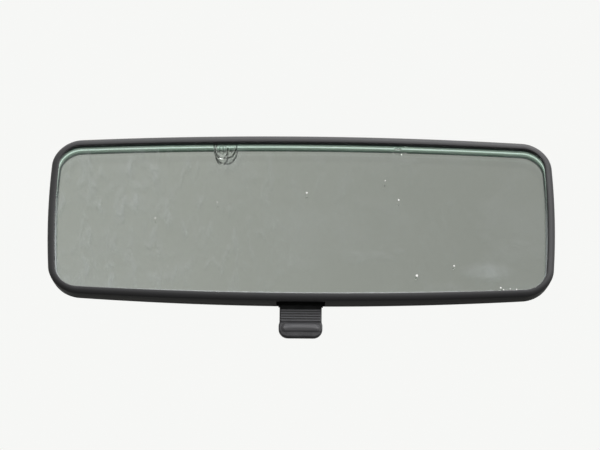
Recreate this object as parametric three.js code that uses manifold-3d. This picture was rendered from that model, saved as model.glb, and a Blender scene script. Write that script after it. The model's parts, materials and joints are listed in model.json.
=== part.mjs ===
// Interior rearview mirror with a day/night prism glass and a dipping lever.
// The head hangs on a ball joint at the end of an arm, and the arm's foot slides
// over a button that is bonded to the inside of the windscreen.
//
// Millimetres. +X is to the driver's right, +Y towards the windscreen, +Z up.
// The origin is the centre of the adhesive face against the windscreen.
// Most pieces are drawn in the head's frame: y = 0 on the bezel's foremost line,
// x = z = 0 in the middle of the glass.

import * as THREE from 'three';
import { mergeVertices } from 'three/addons/utils/BufferGeometryUtils.js';
import Module from 'manifold-3d';

const wasm = await Module();
wasm.setup();

// ---------------------------------------------------------------- driving dimensions

// Head outline, seen from the driver's seat
const headWidth = 240;
const headHeight = 81;
const cornerRadius = 13;
const longEdgeBow = 3.5;
const shortEdgeBow = 2.1;

// Bezel and glass
const lipWidth = 3.5;
const lipThickness = 1.9;
const skirtThickness = 1.9;
const partingDepth = 12;
const glassInset = 2.9;
const glassFront = 2.2;
const glassThinEdge = 2.5;
const wedgeAngle = 2.94;
const filmThickness = 0.3;

// Rear housing
const housingDepth = 30;
const wall = 2;
const endTaper = 0.72;
const openingWidth = 44;
const openingHeight = 36;
const slotWidth = 23;

// Ball joint
const ballRadius = 7.5;
const ballDepth = 20;
const neckRadius = 3.5;
const seatInner = 7.8;
const seatOuter = 9.2;
const socketRadius = 9.5;
const socketMouthAngle = 50;

// Day/night mechanism: the bracket swings about the flip pin, driven by the crank pin
const flipPivot = { y: 15, z: 24 };
const leverPivot = { y: 15, z: -33 };
const flipAngle = 4.5;
const leverSwing = 30;

// Dipping lever
const tabWidth = 21;
const tabFront = 9.6;
const tabTop = -42.4;
const tabBottom = -56.2;
const ribPitch = 1.22;
const ribCount = 5;

// Mount on the windscreen, in the head's frame, and its slope from the horizontal
const mountPoint = new THREE.Vector3(0, 70, 44);
const windscreenRake = 40;

// Play between pieces that touch
const gap = 0.3;

// ---------------------------------------------------------------- worked-out sizes

const rad = THREE.MathUtils.degToRad;
const glassHalfHeight = headHeight / 2 - glassInset;
const halfFlip = rad(flipAngle / 2);
const halfSwing = rad(leverSwing / 2);
const pivotSpacing = flipPivot.z - leverPivot.z;
const slotReach = pivotSpacing / (Math.cos(halfFlip) + Math.sin(halfFlip) / Math.tan(halfSwing));
const crankRadius = slotReach * Math.sin(halfFlip) / Math.sin(halfSwing);
const crankPin = {
  y: leverPivot.y - crankRadius * Math.sin(halfSwing),
  z: leverPivot.z + crankRadius * Math.cos(halfSwing),
};

// ---------------------------------------------------------------- finishes

const finish = (color, roughness, metalness) =>
  new THREE.MeshStandardMaterial({ color, roughness, metalness });
const charcoalPlastic = finish(0x3a3a3c, 0.5, 0);
const blackPlastic = finish(0x222224, 0.55, 0);
const naturalNylon = finish(0xd9d6c8, 0.6, 0);
const mirrorGlass = finish(0x97a298, 0.03, 0.6);
const filmGrey = finish(0x5a5f66, 0.6, 0.2);
const foamBlack = finish(0x2b2b2d, 0.95, 0);
const rubberBlack = finish(0x1c1c1d, 0.9, 0);
const zincPlated = finish(0xb4b5b2, 0.35, 1);
const springSteel = finish(0x8e9196, 0.3, 1);
const blackPaint = finish(0x2a2b2d, 0.45, 0.3);
const chromed = finish(0xd4d6d8, 0.12, 1);
const adhesiveClear = finish(0x8d8f86, 0.7, 0);

// ---------------------------------------------------------------- helpers

const head = new THREE.Group();
head.position.copy(mountPoint).negate();
const foot = new THREE.Group();
foot.rotation.x = -rad(windscreenRake);
const rearviewMirror = new THREE.Group();
rearviewMirror.add(head, foot);

function place(group, name, geometry, material) {
  const mesh = new THREE.Mesh(geometry, material);
  mesh.name = name;
  group.add(mesh);
}

// The geometry with one vertex at each point
function merged(geometry) {
  const bare = geometry.clone();
  bare.deleteAttribute('normal');
  bare.deleteAttribute('uv');
  return mergeVertices(bare, 1e-4);
}

function solid(geometry) {
  const closed = merged(geometry);
  return new wasm.Manifold(new wasm.Mesh({
    numProp: 3,
    vertProperties: new Float32Array(closed.attributes.position.array),
    triVerts: new Uint32Array(closed.index.array),
  }));
}

function geometryOf(body) {
  const mesh = body.getMesh();
  const geometry = new THREE.BufferGeometry();
  geometry.setAttribute('position', new THREE.BufferAttribute(mesh.vertProperties, 3));
  geometry.setIndex(new THREE.BufferAttribute(mesh.triVerts, 1));
  geometry.computeVertexNormals();
  return geometry;
}

function join(...bodies) {
  return bodies.reduce((whole, body) => whole.add(body));
}

function cut(body, ...tools) {
  return tools.reduce((rest, tool) => rest.subtract(tool), body);
}

// A box between two corners, each range given as [low, high]
function block(xRange, yRange, zRange) {
  const span = (range) => range[1] - range[0];
  const middle = (range) => (range[0] + range[1]) / 2;
  const geometry = new THREE.BoxGeometry(span(xRange), span(yRange), span(zRange));
  return solid(geometry.translate(middle(xRange), middle(yRange), middle(zRange)));
}

// A round bar along one axis, from low to high, centred on the other two coordinates
function bar(axis, radius, low, high, centre, segments = 20) {
  const geometry = new THREE.CylinderGeometry(radius, radius, high - low, segments);
  geometry.translate(0, (low + high) / 2, 0);
  if (axis === 'x') {
    geometry.rotateZ(-Math.PI / 2);
  }
  if (axis === 'z') {
    geometry.rotateX(Math.PI / 2);
  }
  return solid(geometry.translate(centre.x ?? 0, centre.y ?? 0, centre.z ?? 0));
}

function ball(radius, segments = 24) {
  const geometry = new THREE.SphereGeometry(radius, segments, segments * 2 / 3);
  return solid(geometry.translate(0, ballDepth, 0));
}

// A flat outline of [a, b] points, extruded along one axis between two coordinates.
// Along x the outline is [y, z]; along y it is [x, z]; along z it is [x, y].
function plate(axis, points, low, high) {
  const shape = new THREE.Shape(points.map(([a, b]) => new THREE.Vector2(a, b)));
  return extrude(axis, shape, low, high);
}

function extrude(axis, shape, low, high) {
  const settings = { depth: high - low, bevelEnabled: false, curveSegments: 3 };
  const geometry = new THREE.ExtrudeGeometry(shape, settings).translate(0, 0, low);
  if (axis === 'x') {
    geometry.applyMatrix4(new THREE.Matrix4().set(0, 0, 1, 0, 1, 0, 0, 0, 0, 1, 0, 0, 0, 0, 0, 1));
  }
  if (axis === 'y') {
    geometry.applyMatrix4(new THREE.Matrix4().set(1, 0, 0, 0, 0, 0, -1, 0, 0, 1, 0, 0, 0, 0, 0, 1));
    geometry.scale(1, -1, 1);
    turnFacesOver(geometry);
  }
  return solid(geometry);
}

function turnFacesOver(geometry) {
  const indexed = geometry.index ? geometry : geometry.setIndex(
    [...Array(geometry.attributes.position.count).keys()],
  );
  const order = indexed.index.array;
  for (let corner = 0; corner < order.length; corner += 3) {
    [order[corner], order[corner + 1]] = [order[corner + 1], order[corner]];
  }
}

function roundedRectangle(width, height, radius) {
  const shape = new THREE.Shape();
  const x = width / 2;
  const z = height / 2;
  shape.moveTo(-x + radius, -z);
  shape.lineTo(x - radius, -z);
  shape.absarc(x - radius, -z + radius, radius, -Math.PI / 2, 0);
  shape.lineTo(x, z - radius);
  shape.absarc(x - radius, z - radius, radius, 0, Math.PI / 2);
  shape.lineTo(-x + radius, z);
  shape.absarc(-x + radius, z - radius, radius, Math.PI / 2, Math.PI);
  shape.lineTo(-x, -z + radius);
  shape.absarc(-x + radius, -z + radius, radius, Math.PI, Math.PI * 1.5);
  return shape;
}

// The head's outline moved inwards by inset: a rounded rectangle with bowed edges.
// Every outline has the same number of points, so outlines can be lofted together.
function outline(inset, radius = cornerRadius - inset) {
  const halfWidth = headWidth / 2 - inset;
  const halfHeight = headHeight / 2 - inset;
  const cornerSteps = 6;
  const longSteps = 10;
  const shortSteps = 4;
  const points = [];
  const corners = [[1, 1], [-1, 1], [-1, -1], [1, -1]];
  corners.forEach(([sideX, sideZ], quarter) => {
    const centreX = sideX * (halfWidth - radius);
    const centreZ = sideZ * (halfHeight - radius);
    for (let step = 0; step <= cornerSteps; step += 1) {
      const angle = (quarter + step / cornerSteps) * Math.PI / 2;
      points.push([centreX + radius * Math.cos(angle), centreZ + radius * Math.sin(angle)]);
    }
    const [nextX, nextZ] = corners[(quarter + 1) % 4];
    const start = points[points.length - 1];
    const end = [
      nextX * (halfWidth - radius) - (quarter % 2 ? -nextX * radius : 0),
      nextZ * (halfHeight - radius) + (quarter % 2 ? 0 : nextZ * radius),
    ];
    const steps = quarter % 2 ? shortSteps : longSteps;
    for (let step = 1; step < steps; step += 1) {
      const share = step / steps;
      points.push([
        start[0] + (end[0] - start[0]) * share,
        start[1] + (end[1] - start[1]) * share,
      ]);
    }
  });
  return points.map(([x, z]) => [
    x - shortEdgeBow * (2 * x / headWidth) * (2 * z / headHeight) ** 2,
    z - longEdgeBow * (2 * z / headHeight) * (2 * x / headWidth) ** 2,
  ]);
}

// Skins a row of outlines. The ends are closed by fans, or joined to each other for a ring.
// depth(x, z) gives each point's y.
function loft(sections, ring = false) {
  const loops = sections.map(({ points, depth }) => points.map(([x, z]) => [x, depth(x, z), z]));
  const size = loops[0].length;
  const triangles = [];
  const bands = ring ? loops.length : loops.length - 1;
  for (let band = 0; band < bands; band += 1) {
    const next = (band + 1) % loops.length;
    for (let step = 0; step < size; step += 1) {
      const after = (step + 1) % size;
      const near = [band * size + step, band * size + after];
      const far = [next * size + step, next * size + after];
      triangles.push(near[0], near[1], far[1], near[0], far[1], far[0]);
    }
  }
  const corners = loops.flat();
  if (!ring) {
    const last = (loops.length - 1) * size;
    const frontMiddle = corners.push([0, sections[0].depth(0, 0), 0]) - 1;
    const backMiddle = corners.push([0, sections[sections.length - 1].depth(0, 0), 0]) - 1;
    for (let step = 0; step < size; step += 1) {
      const after = (step + 1) % size;
      triangles.push(frontMiddle, after, step, backMiddle, last + step, last + after);
    }
  }
  const geometry = new THREE.BufferGeometry();
  geometry.setAttribute('position', new THREE.Float32BufferAttribute(corners.flat(), 3));
  geometry.setIndex(triangles);
  geometry.computeVertexNormals();
  if (signedVolume(geometry) < 0) {
    turnFacesOver(geometry);
  }
  return geometry;
}

function signedVolume(geometry) {
  const { position } = geometry.attributes;
  const vertexAt = (index) => new THREE.Vector3().fromBufferAttribute(position, index);
  let sum = 0;
  for (let corner = 0; corner < geometry.index.count; corner += 3) {
    const [a, b, c] = [0, 1, 2].map((step) => vertexAt(geometry.index.getX(corner + step)));
    sum += a.dot(b.cross(c)) / 6;
  }
  return sum;
}

const flatAt = (y) => () => y;

// A turned part about a line along +Y; profile points are [radius, y]
function turned(profile, segments = 24) {
  const points = profile.map(([radius, y]) => new THREE.Vector2(Math.max(radius, 0), y));
  const body = merged(new THREE.LatheGeometry(points, segments));
  if (signedVolume(body) < 0) {
    turnFacesOver(body);
  }
  return solid(body);
}

// Points of an arc about the ball's centre, angles measured from +Y, as [radius, y]
function sphereArc(radius, fromAngle, toAngle, steps) {
  return Array.from({ length: steps + 1 }, (_, step) => {
    const angle = rad(fromAngle + (toAngle - fromAngle) * step / steps);
    return [radius * Math.sin(angle), ballDepth + radius * Math.cos(angle)];
  });
}

// ---------------------------------------------------------------- glass and bezel

function glassBack(z) {
  return glassFront + glassThinEdge + (z + glassHalfHeight) * Math.tan(rad(wedgeAngle));
}

function buildGlass() {
  const behind = (clearance) => (x, z) => glassBack(z) + clearance;
  const edge = outline(glassInset);
  const filmEdge = outline(glassInset + 0.6);
  const filmGap = 0.1;
  place(head, 'mirror_glass', loft([
    { points: edge, depth: flatAt(glassFront) },
    { points: edge, depth: behind(0) },
  ]), mirrorGlass);
  place(head, 'glass_backing', loft([
    { points: filmEdge, depth: behind(filmGap) },
    { points: filmEdge, depth: behind(filmGap + filmThickness) },
  ]), filmGrey);
}

// A strip of foam between the glass and the housing's ribs, one on each side
const padReach = { inner: 64, outer: 90, half: 24 };
const padThickness = 3;

function buildFoamPads() {
  for (const [side, name] of [[-1, 'foam_pad_left'], [1, 'foam_pad_right']]) {
    const front = (z) => glassBack(z) + filmThickness + 0.25;
    const profile = [
      [front(-padReach.half), -padReach.half],
      [front(-padReach.half) + padThickness, -padReach.half],
      [front(padReach.half) + padThickness, padReach.half],
      [front(padReach.half), padReach.half],
    ];
    const ends = [side * padReach.inner, side * padReach.outer].sort((a, b) => a - b);
    place(head, name, geometryOf(plate('x', profile, ends[0], ends[1])), foamBlack);
  }
}

// Ring of a rounded section: [inset, y] from the skirt's rear edge over the front lip
const bezelSection = [
  [0.5, partingDepth],
  [0.15, 7],
  [0, 2.4],
  [0.14, 1.66],
  [0.55, 0.99],
  [1.2, 0.46],
  [2, 0.12],
  [2.8, 0],
  [3.25, 0.12],
  [lipWidth, 0.6],
  [lipWidth, lipThickness],
  [skirtThickness, lipThickness],
  [skirtThickness + 0.05, partingDepth],
];
const notchFront = 3.6;
const slotBack = 19;
const slotTop = -34.8;

function leverSlot(front) {
  return block([-slotWidth / 2, slotWidth / 2], [front, slotBack], [-headHeight, slotTop]);
}

function buildBezel() {
  const ring = loft(bezelSection.map(([inset, y]) => ({
    points: outline(inset),
    depth: flatAt(y),
  })), true);
  place(head, 'front_bezel', geometryOf(cut(solid(ring), leverSlot(notchFront))), charcoalPlastic);
}

// ---------------------------------------------------------------- rear housing

// [y, inset, corner radius] from the parting line to the middle of the back
const rimDepth = partingDepth + gap;
const outerSection = [
  [rimDepth, 0.5, 12.5],
  [17, 1, 12.5],
  [21, 2.4, 12.8],
  [25, 6, 13.5],
  [28, 13, 14],
  [29.6, 22, 12.5],
  [housingDepth, 30, 8],
];
const innerSection = [
  [rimDepth, 3.9, 9.1],
  [16.8, 3.3, 10],
  [20, 4.8, 11],
  [23.4, 8.2, 12],
  [26, 14.4, 12.5],
  [27.5, 22.8, 11.5],
  [housingDepth - wall, 30, 8],
];

// The back is deepest in the middle and shallower towards both ends
function taperedDepth(y) {
  return (x) => {
    const behind = y - rimDepth;
    return rimDepth + behind * (1 - endTaper * (2 * Math.abs(x) / headWidth) ** 2.2);
  };
}

const housingSections = (rows) => rows.map(([y, inset, radius]) => ({
  points: outline(inset, radius),
  depth: taperedDepth(y),
}));

const screwPlaces = [[-38, 22], [38, 22], [-38, -22], [38, -22]];
const screwBore = 1.8;
const boss = { radius: 4, front: 20.5, boreEnd: 25.6 };
const padRibs = { places: [-86, -68, 68, 86], halfThickness: 0.9 };
const carrierPlate = [18.4, 20.2];

function buildHousing() {
  const tongueInset = skirtThickness + gap;
  const tongueFront = (clearance) => (x, z) => glassBack(z) + clearance;
  const outer = solid(loft([
    { points: outline(tongueInset), depth: tongueFront(0.8) },
    { points: outline(tongueInset), depth: flatAt(rimDepth) },
    ...housingSections(outerSection),
  ]));
  const cavity = solid(loft([
    { points: outline(3.9), depth: tongueFront(-3) },
    ...housingSections(innerSection),
  ]));
  const bosses = screwPlaces.map(([x, z]) => (
    bar('y', boss.radius, boss.front, housingDepth, { x, z }, 16)
  ));
  const ribFront = glassBack(padReach.half) + filmThickness + padThickness + 0.8;
  const ribs = padRibs.places.map((x) => block(
    [x - padRibs.halfThickness, x + padRibs.halfThickness],
    [ribFront, housingDepth],
    [-padReach.half, padReach.half],
  ));
  const opening = extrude('y', roundedRectangle(openingWidth, openingHeight, 13), 22, housingDepth + 2);
  const screwHoles = screwPlaces.map(([x, z]) => (
    bar('y', screwBore, boss.front - 1, boss.boreEnd, { x, z }, 12)
  ));
  const shell = cut(outer, cut(cavity, ...bosses, ...ribs), opening, leverSlot(2), ...screwHoles);
  place(head, 'rear_housing', geometryOf(shell), charcoalPlastic);
}

// ---------------------------------------------------------------- carrier inside the head

const flipPinRadius = 1.5;
const leverPinRadius = 1.2;
const boreClearance = 0.2;
const carrierEar = { top: [16.2, 18.4], bottom: [14.6, 16.8] };

function buildCarrier() {
  const panel = block([-44, 44], carrierPlate, [-33.4, 30]);
  const window = join(
    block([-23, 23], [16, 23], [-30.2, 19]),
    block([-15.9, 15.9], [16, 23], [18, 28.2]),
  );
  const pieces = [];
  for (const side of [-1, 1]) {
    const span = ([near, far]) => [side * near, side * far].sort((a, b) => a - b);
    pieces.push(block(span(carrierEar.top), [flipPivot.y - 3.4, 19.2], [20, 28]));
    pieces.push(block(span(carrierEar.bottom), [leverPivot.y - 2.6, 19.2], [-35.4, -28.6]));
  }
  const bores = [
    bar('x', flipPinRadius + boreClearance, -24, 24, flipPivot, 16),
    bar('x', leverPinRadius + boreClearance, -24, 24, leverPivot, 16),
    ...screwPlaces.map(([x, z]) => bar('y', screwBore, 17, 22, { x, z }, 12)),
  ];
  const frame = cut(join(cut(panel, window), ...pieces), ...bores);
  place(head, 'mechanism_carrier', geometryOf(frame), naturalNylon);
}

// Pan-head screw along +Y: head in front of seat, shank behind it
function screw(radius, headRadius, headThickness, length, segments = 12) {
  const body = turned([
    [0, -headThickness],
    [headRadius * 0.72, -headThickness],
    [headRadius, -headThickness * 0.45],
    [headRadius, 0],
    [radius, 0],
    [radius, length - radius],
    [radius * 0.45, length],
    [0, length],
  ], segments);
  const recess = headThickness * 0.6;
  const across = [-headRadius * 0.6, headRadius * 0.6];
  const slot = [-headRadius * 0.14, headRadius * 0.14];
  const mouth = [-headThickness - 1, -headThickness + recess];
  return cut(body, block(across, mouth, slot), block(slot, mouth, across));
}

function buildCarrierScrews() {
  screwPlaces.forEach(([x, z], index) => {
    const body = screw(1.5, 2.9, 2, 5.2).translate([x, carrierPlate[0] - gap, z]);
    place(head, `carrier_screw_${index + 1}`, geometryOf(body), zincPlated);
  });
}

// A straight pin along X with a head at its left end
function headedPin(radius, reach, centre, headRadius) {
  return join(
    bar('x', radius, -reach - 1, reach + 1.6, centre, 16),
    bar('x', headRadius, -reach - 1.6, -reach - 0.4, centre, 16),
  );
}

// A C-shaped retaining clip on a pin along X
function retainingClip(pinRadius, x, centre) {
  const shape = new THREE.Shape();
  const open = 0.6;
  shape.absarc(centre.y, centre.z, pinRadius + 1.6, open, Math.PI * 2 - open, false);
  shape.absarc(centre.y, centre.z, pinRadius + 0.25, Math.PI * 2 - open, open, true);
  return extrude('x', shape, x, x + 0.6);
}

function buildPins() {
  const topEar = carrierEar.top[1];
  const bottomEar = carrierEar.bottom[1];
  place(head, 'flip_pivot_pin', geometryOf(headedPin(flipPinRadius, topEar, flipPivot, 2.6)), zincPlated);
  place(head, 'lever_pivot_pin', geometryOf(headedPin(leverPinRadius, bottomEar, leverPivot, 2.1)), zincPlated);
  const flipClip = retainingClip(flipPinRadius, topEar + 0.4, flipPivot);
  const leverClip = retainingClip(leverPinRadius, bottomEar + 0.4, leverPivot);
  place(head, 'flip_pin_clip', geometryOf(flipClip), springSteel);
  place(head, 'lever_pin_clip', geometryOf(leverClip), springSteel);
}

// Over-centre torsion spring: a close coil on the lever pin, beside the lever's hub
function buildDetentSpring() {
  const coil = cut(
    bar('x', 2.8, -14.2, -hubReach - gap, leverPivot, 20),
    bar('x', leverPinRadius + gap, -24, 24, leverPivot, 16),
  );
  place(head, 'detent_spring', geometryOf(coil), springSteel);
}

// Rubber stops on the carrier's side rails; the bracket's wings land on them at night
const wing = { near: 15, far: 28, low: -18, high: -11 };
const stopThickness = 1;

function buildStopPads() {
  for (const [side, name] of [[-1, 'stop_pad_left'], [1, 'stop_pad_right']]) {
    const span = [side * (wing.far - 4), side * wing.far].sort((a, b) => a - b);
    const back = carrierPlate[0] - gap;
    const pad = block(span, [back - stopThickness, back], [wing.low + 1, wing.high - 1]);
    place(head, name, geometryOf(pad), rubberBlack);
  }
}

// ---------------------------------------------------------------- dipping lever

const crankEar = [11.3, 14];
const hubReach = 10.8;

// Side profile of the finger tab, as [y, z]: ribs, a groove, then the rounded lip
function tabProfile() {
  const ribDepth = 0.35;
  const front = [];
  for (let rib = 0; rib < ribCount; rib += 1) {
    const middle = tabTop - ribPitch * (rib + 0.6);
    front.push([tabFront + ribDepth, middle + ribPitch * 0.42]);
    front.push([tabFront, middle + ribPitch * 0.2]);
    front.push([tabFront, middle - ribPitch * 0.2]);
    front.push([tabFront + ribDepth, middle - ribPitch * 0.42]);
  }
  const groove = tabTop - ribPitch * (ribCount + 0.35);
  return [
    [leverPivot.y - 2, leverPivot.z],
    [tabFront + 2, tabTop + 1.3],
    [tabFront + 1.4, tabTop],
    ...front,
    [tabFront + 1, groove],
    [tabFront - 0.5, groove - 1.3],
    [tabFront - 1.1, groove - 2.8],
    [tabFront - 0.6, groove - 4.3],
    [tabFront + 0.5, groove - 5.6],
    [tabFront + 0.9, tabBottom + 0.7],
    [tabFront + 1.7, tabBottom],
    [tabFront + 3, tabBottom + 0.2],
    [tabFront + 3.6, tabBottom + 1.4],
    [tabFront + 3.6, tabTop],
    [leverPivot.y + 2.2, leverPivot.z - 1.4],
    [leverPivot.y + 2.2, leverPivot.z],
  ];
}

function tabOutline() {
  const shape = new THREE.Shape();
  const top = tabWidth / 2;
  const bottom = tabWidth / 2 - 0.7;
  const radius = 4;
  shape.moveTo(-top, leverPivot.z + 1);
  shape.lineTo(-top, tabTop);
  shape.lineTo(-bottom, tabBottom + radius);
  shape.quadraticCurveTo(-bottom, tabBottom, -bottom + radius, tabBottom);
  shape.lineTo(bottom - radius, tabBottom);
  shape.quadraticCurveTo(bottom, tabBottom, bottom, tabBottom + radius);
  shape.lineTo(top, tabTop);
  shape.lineTo(top, leverPivot.z + 1);
  return shape;
}

function buildLever() {
  const side = plate('x', tabProfile(), -tabWidth / 2, tabWidth / 2);
  const front = extrude('y', tabOutline(), 5, 20);
  const tab = side.intersect(front);
  const hub = bar('x', 2.8, -hubReach, hubReach, leverPivot, 20);
  const crank = plate('x', [
    [leverPivot.y - 2.4, leverPivot.z],
    [leverPivot.y + 2.4, leverPivot.z],
    [crankPin.y + 2.3, crankPin.z],
    [crankPin.y - 2.3, crankPin.z],
  ], -9.5, 9.5);
  const crankEnd = bar('x', 2.3, -9.5, 9.5, crankPin, 20);
  const bores = [
    bar('x', leverPinRadius + boreClearance, -24, 24, leverPivot, 16),
    bar('x', leverPinRadius + boreClearance, -24, 24, crankPin, 16),
  ];
  place(head, 'dipping_lever', geometryOf(cut(join(tab, hub, crank, crankEnd), ...bores)), charcoalPlastic);
  place(head, 'crank_pin', geometryOf(bar('x', leverPinRadius, -14.4, 14.4, crankPin, 16)), zincPlated);
}

// ---------------------------------------------------------------- bracket and socket

const clampScrewX = 16.8;
const lugRadius = 3.6;
const socketSplit = ballDepth;
const drumRadius = 13;
const webDepth = [11.2, 13.6];

function buildBracket() {
  const pieces = [
    bar('y', drumRadius, 9.4, socketSplit - 0.1, {}, 28),
    block([-15.5, 15.5], webDepth, [-20.5, 21.5]),
    block([-wing.far, wing.far], webDepth, [wing.low, wing.high]),
  ];
  const slotPlay = 0.6;
  for (const side of [-1, 1]) {
    const span = (near, far) => [side * near, side * far].sort((a, b) => a - b);
    pieces.push(bar('y', lugRadius, webDepth[0], socketSplit - 0.1, { x: side * clampScrewX }, 16));
    pieces.push(block(span(13, 15.5), [11.6, 18.4], [19, 27.4]));
    pieces.push(block(span(...crankEar), [10.2, 15.9], [-29.4, -19]));
  }
  const tools = [
    ball(socketRadius),
    bar('x', flipPinRadius + boreClearance, -24, 24, flipPivot, 16),
    block(
      [-24, 24],
      [crankPin.y - leverPinRadius - 0.12, crankPin.y + leverPinRadius + 0.12],
      [crankPin.z - leverPinRadius - slotPlay, crankPin.z + leverPinRadius + slotPlay],
    ),
    ...[-1, 1].map((side) => bar('y', screwBore, 5, 25, { x: side * clampScrewX }, 12)),
  ];
  place(head, 'pivot_bracket', geometryOf(cut(join(...pieces), ...tools)), zincPlated);
}

function buildSocketClamp() {
  const front = socketSplit + 0.2;
  const flangeBack = front + 2.4;
  const shellRadius = 11.4;
  const dome = sphereArc(shellRadius, 70, socketMouthAngle, 5);
  const ring = turned([
    [0, front],
    [drumRadius, front],
    [drumRadius, flangeBack],
    ...dome,
    [0, dome[dome.length - 1][1]],
  ], 28);
  const lugs = [-1, 1].map((side) => bar('y', lugRadius, front, flangeBack, { x: side * clampScrewX }, 16));
  const bars = block([-clampScrewX, clampScrewX], [front, flangeBack], [-lugRadius, lugRadius]);
  const holes = [-1, 1].map((side) => bar('y', screwBore, 15, 30, { x: side * clampScrewX }, 12));
  const mouthRadius = socketRadius * Math.sin(rad(socketMouthAngle));
  const mouth = bar('y', mouthRadius, ballDepth, 32, {}, 28);
  const clamp = cut(join(ring, ...lugs, bars), ball(socketRadius), mouth, ...holes);
  place(head, 'socket_clamp', geometryOf(clamp), blackPaint);
}

function buildClampScrews() {
  const springFront = socketSplit + 0.2 + 2.4 + gap;
  const springLength = 3;
  const seat = springFront + springLength + gap;
  for (const [side, word] of [[-1, 'left'], [1, 'right']]) {
    const x = side * clampScrewX;
    const spring = turned([
      [2, springFront],
      [3.1, springFront],
      [3.1, springFront + springLength],
      [2, springFront + springLength],
      [2, springFront],
    ], 16).translate([x, 0, 0]);
    const body = screw(1.5, 3, 1.8, 13.5).rotate([0, 0, 180]).translate([x, seat, 0]);
    place(head, `clamp_spring_${word}`, geometryOf(spring), springSteel);
    place(head, `clamp_screw_${word}`, geometryOf(body), zincPlated);
  }
}

// Two nylon seats between ball and socket: a ring behind the ball and a cup in front of it
function buildSeats() {
  const outside = sphereArc(seatOuter, 56, 112, 5);
  const inside = sphereArc(seatInner, 112, 56, 5);
  const rearRing = turned([...outside, ...inside, outside[0]], 20);
  const frontCup = turned([
    ...sphereArc(seatOuter, 180, 132, 4),
    ...sphereArc(seatInner, 132, 180, 4),
  ], 20);
  place(head, 'rear_ball_seat', geometryOf(rearRing), naturalNylon);
  place(head, 'front_ball_seat', geometryOf(frontCup), naturalNylon);
}

// ---------------------------------------------------------------- ball stud, arm and foot

const studNut = [33, 36.4];
const studThread = 3.9;
const studEnd = 47;
const armRadius = 7;
const footThickness = 12;
const footTop = 1.6;
const channelFloor = 6.3;
const footScrewBore = 2.3;
const setScrewY = -10.5;
const intoWindscreen = new THREE.Vector3(0, Math.sin(rad(windscreenRake)), Math.cos(rad(windscreenRake)));

function buildBallStud() {
  const neckAngle = THREE.MathUtils.radToDeg(Math.asin(neckRadius / ballRadius));
  const stud = turned([
    ...sphereArc(ballRadius, 180, neckAngle, 11),
    [neckRadius, studNut[0] - 1.4],
    [studThread, studNut[0] - 0.6],
    [studThread, studEnd - 0.8],
    [studThread - 0.8, studEnd],
    [0, studEnd],
  ]);
  place(head, 'ball_stud', geometryOf(stud), chromed);
  const nut = turned([[0, studNut[0]], [7.4, studNut[0]], [7.4, studNut[1]], [0, studNut[1]]], 6);
  const bore = bar('y', studThread + gap, 30, 40, {}, 20);
  place(head, 'stud_lock_nut', geometryOf(cut(nut, bore)), zincPlated);
}

function buildArm() {
  const start = new THREE.Vector3(0, studNut[1] + gap, 0);
  const end = mountPoint.clone().addScaledVector(intoWindscreen, -footThickness - gap);
  const route = new THREE.CubicBezierCurve3(
    start,
    new THREE.Vector3(0, start.y + 18, 0),
    end.clone().addScaledVector(intoWindscreen, -14),
    end,
  );
  const section = new THREE.Shape();
  section.absarc(0, 0, armRadius, 0, Math.PI * 2);
  const rod = new THREE.ExtrudeGeometry(section, {
    steps: 16,
    curveSegments: 10,
    extrudePath: route,
    bevelEnabled: false,
  });
  const studBore = bar('y', studThread + gap, 30, studEnd + 0.6, {}, 20);
  const tappedHole = bar('z', footScrewBore, -24, -10, {}, 16)
    .rotate([-windscreenRake, 0, 0])
    .translate(mountPoint.toArray());
  place(head, 'stalk_arm', geometryOf(cut(solid(rod), studBore, tappedHole)), blackPaint);
}

// Foot frame: +Z into the windscreen, -Y up the slope towards the driver
function buildFoot() {
  const halfLength = 17;
  const body = extrude('z', roundedRectangle(26, 2 * halfLength, 5), -footThickness, -footTop);
  const channel = plate('y', [
    [-10, -channelFloor],
    [10, -channelFloor],
    [8.6, -footTop + 1],
    [-8.6, -footTop + 1],
  ], -halfLength - 3, 12.6);
  const bores = [
    bar('z', footScrewBore, -14, 0, {}, 16),
    bar('z', 4, -8.4, 0, {}, 16),
    bar('z', footScrewBore, -14, 0, { y: setScrewY }, 16),
  ];
  place(foot, 'mounting_foot', geometryOf(cut(body, channel, ...bores)), blackPaint);

  const button = plate('y', [
    [-9.6, -channelFloor + gap],
    [9.6, -channelFloor + gap],
    [8, -1.1],
    [-8, -1.1],
  ], -12, 12.2);
  place(foot, 'windscreen_button', geometryOf(button), zincPlated);

  const pad = extrude('z', roundedRectangle(15, 23, 2), -0.9, 0);
  place(foot, 'adhesive_pad', geometryOf(pad), adhesiveClear);

  const armScrew = screw(2, 3.6, 1.7, 11).rotate([-90, 0, 0]).translate([0, 0, -8.1]);
  place(foot, 'arm_screw', geometryOf(armScrew), zincPlated);

  const grub = bar('z', 2, -13.4, -channelFloor - 0.2, { y: setScrewY }, 16);
  const socket = bar('z', 1.1, -14, -11, { y: setScrewY }, 6);
  place(foot, 'foot_set_screw', geometryOf(cut(grub, socket)), zincPlated);
}

// ---------------------------------------------------------------- assembly

buildGlass();
buildFoamPads();
buildBezel();
buildHousing();
buildCarrier();
buildCarrierScrews();
buildPins();
buildDetentSpring();
buildStopPads();
buildLever();
buildBracket();
buildSocketClamp();
buildClampScrews();
buildSeats();
buildBallStud();
buildArm();
buildFoot();

export default rearviewMirror;
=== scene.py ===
"""Looks of an interior rearview mirror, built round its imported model.

Everything is in metres in the model's frame. The head's own pieces are drawn from its
middle: x along the glass, z up, and depth from the bezel's foremost line towards the
windscreen. Sizes written with MM are millimetres.
"""

import contextlib
import functools
import json
import math

import bmesh
import bpy
import numpy as np
from mathutils import Matrix, Quaternion, Vector


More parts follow.
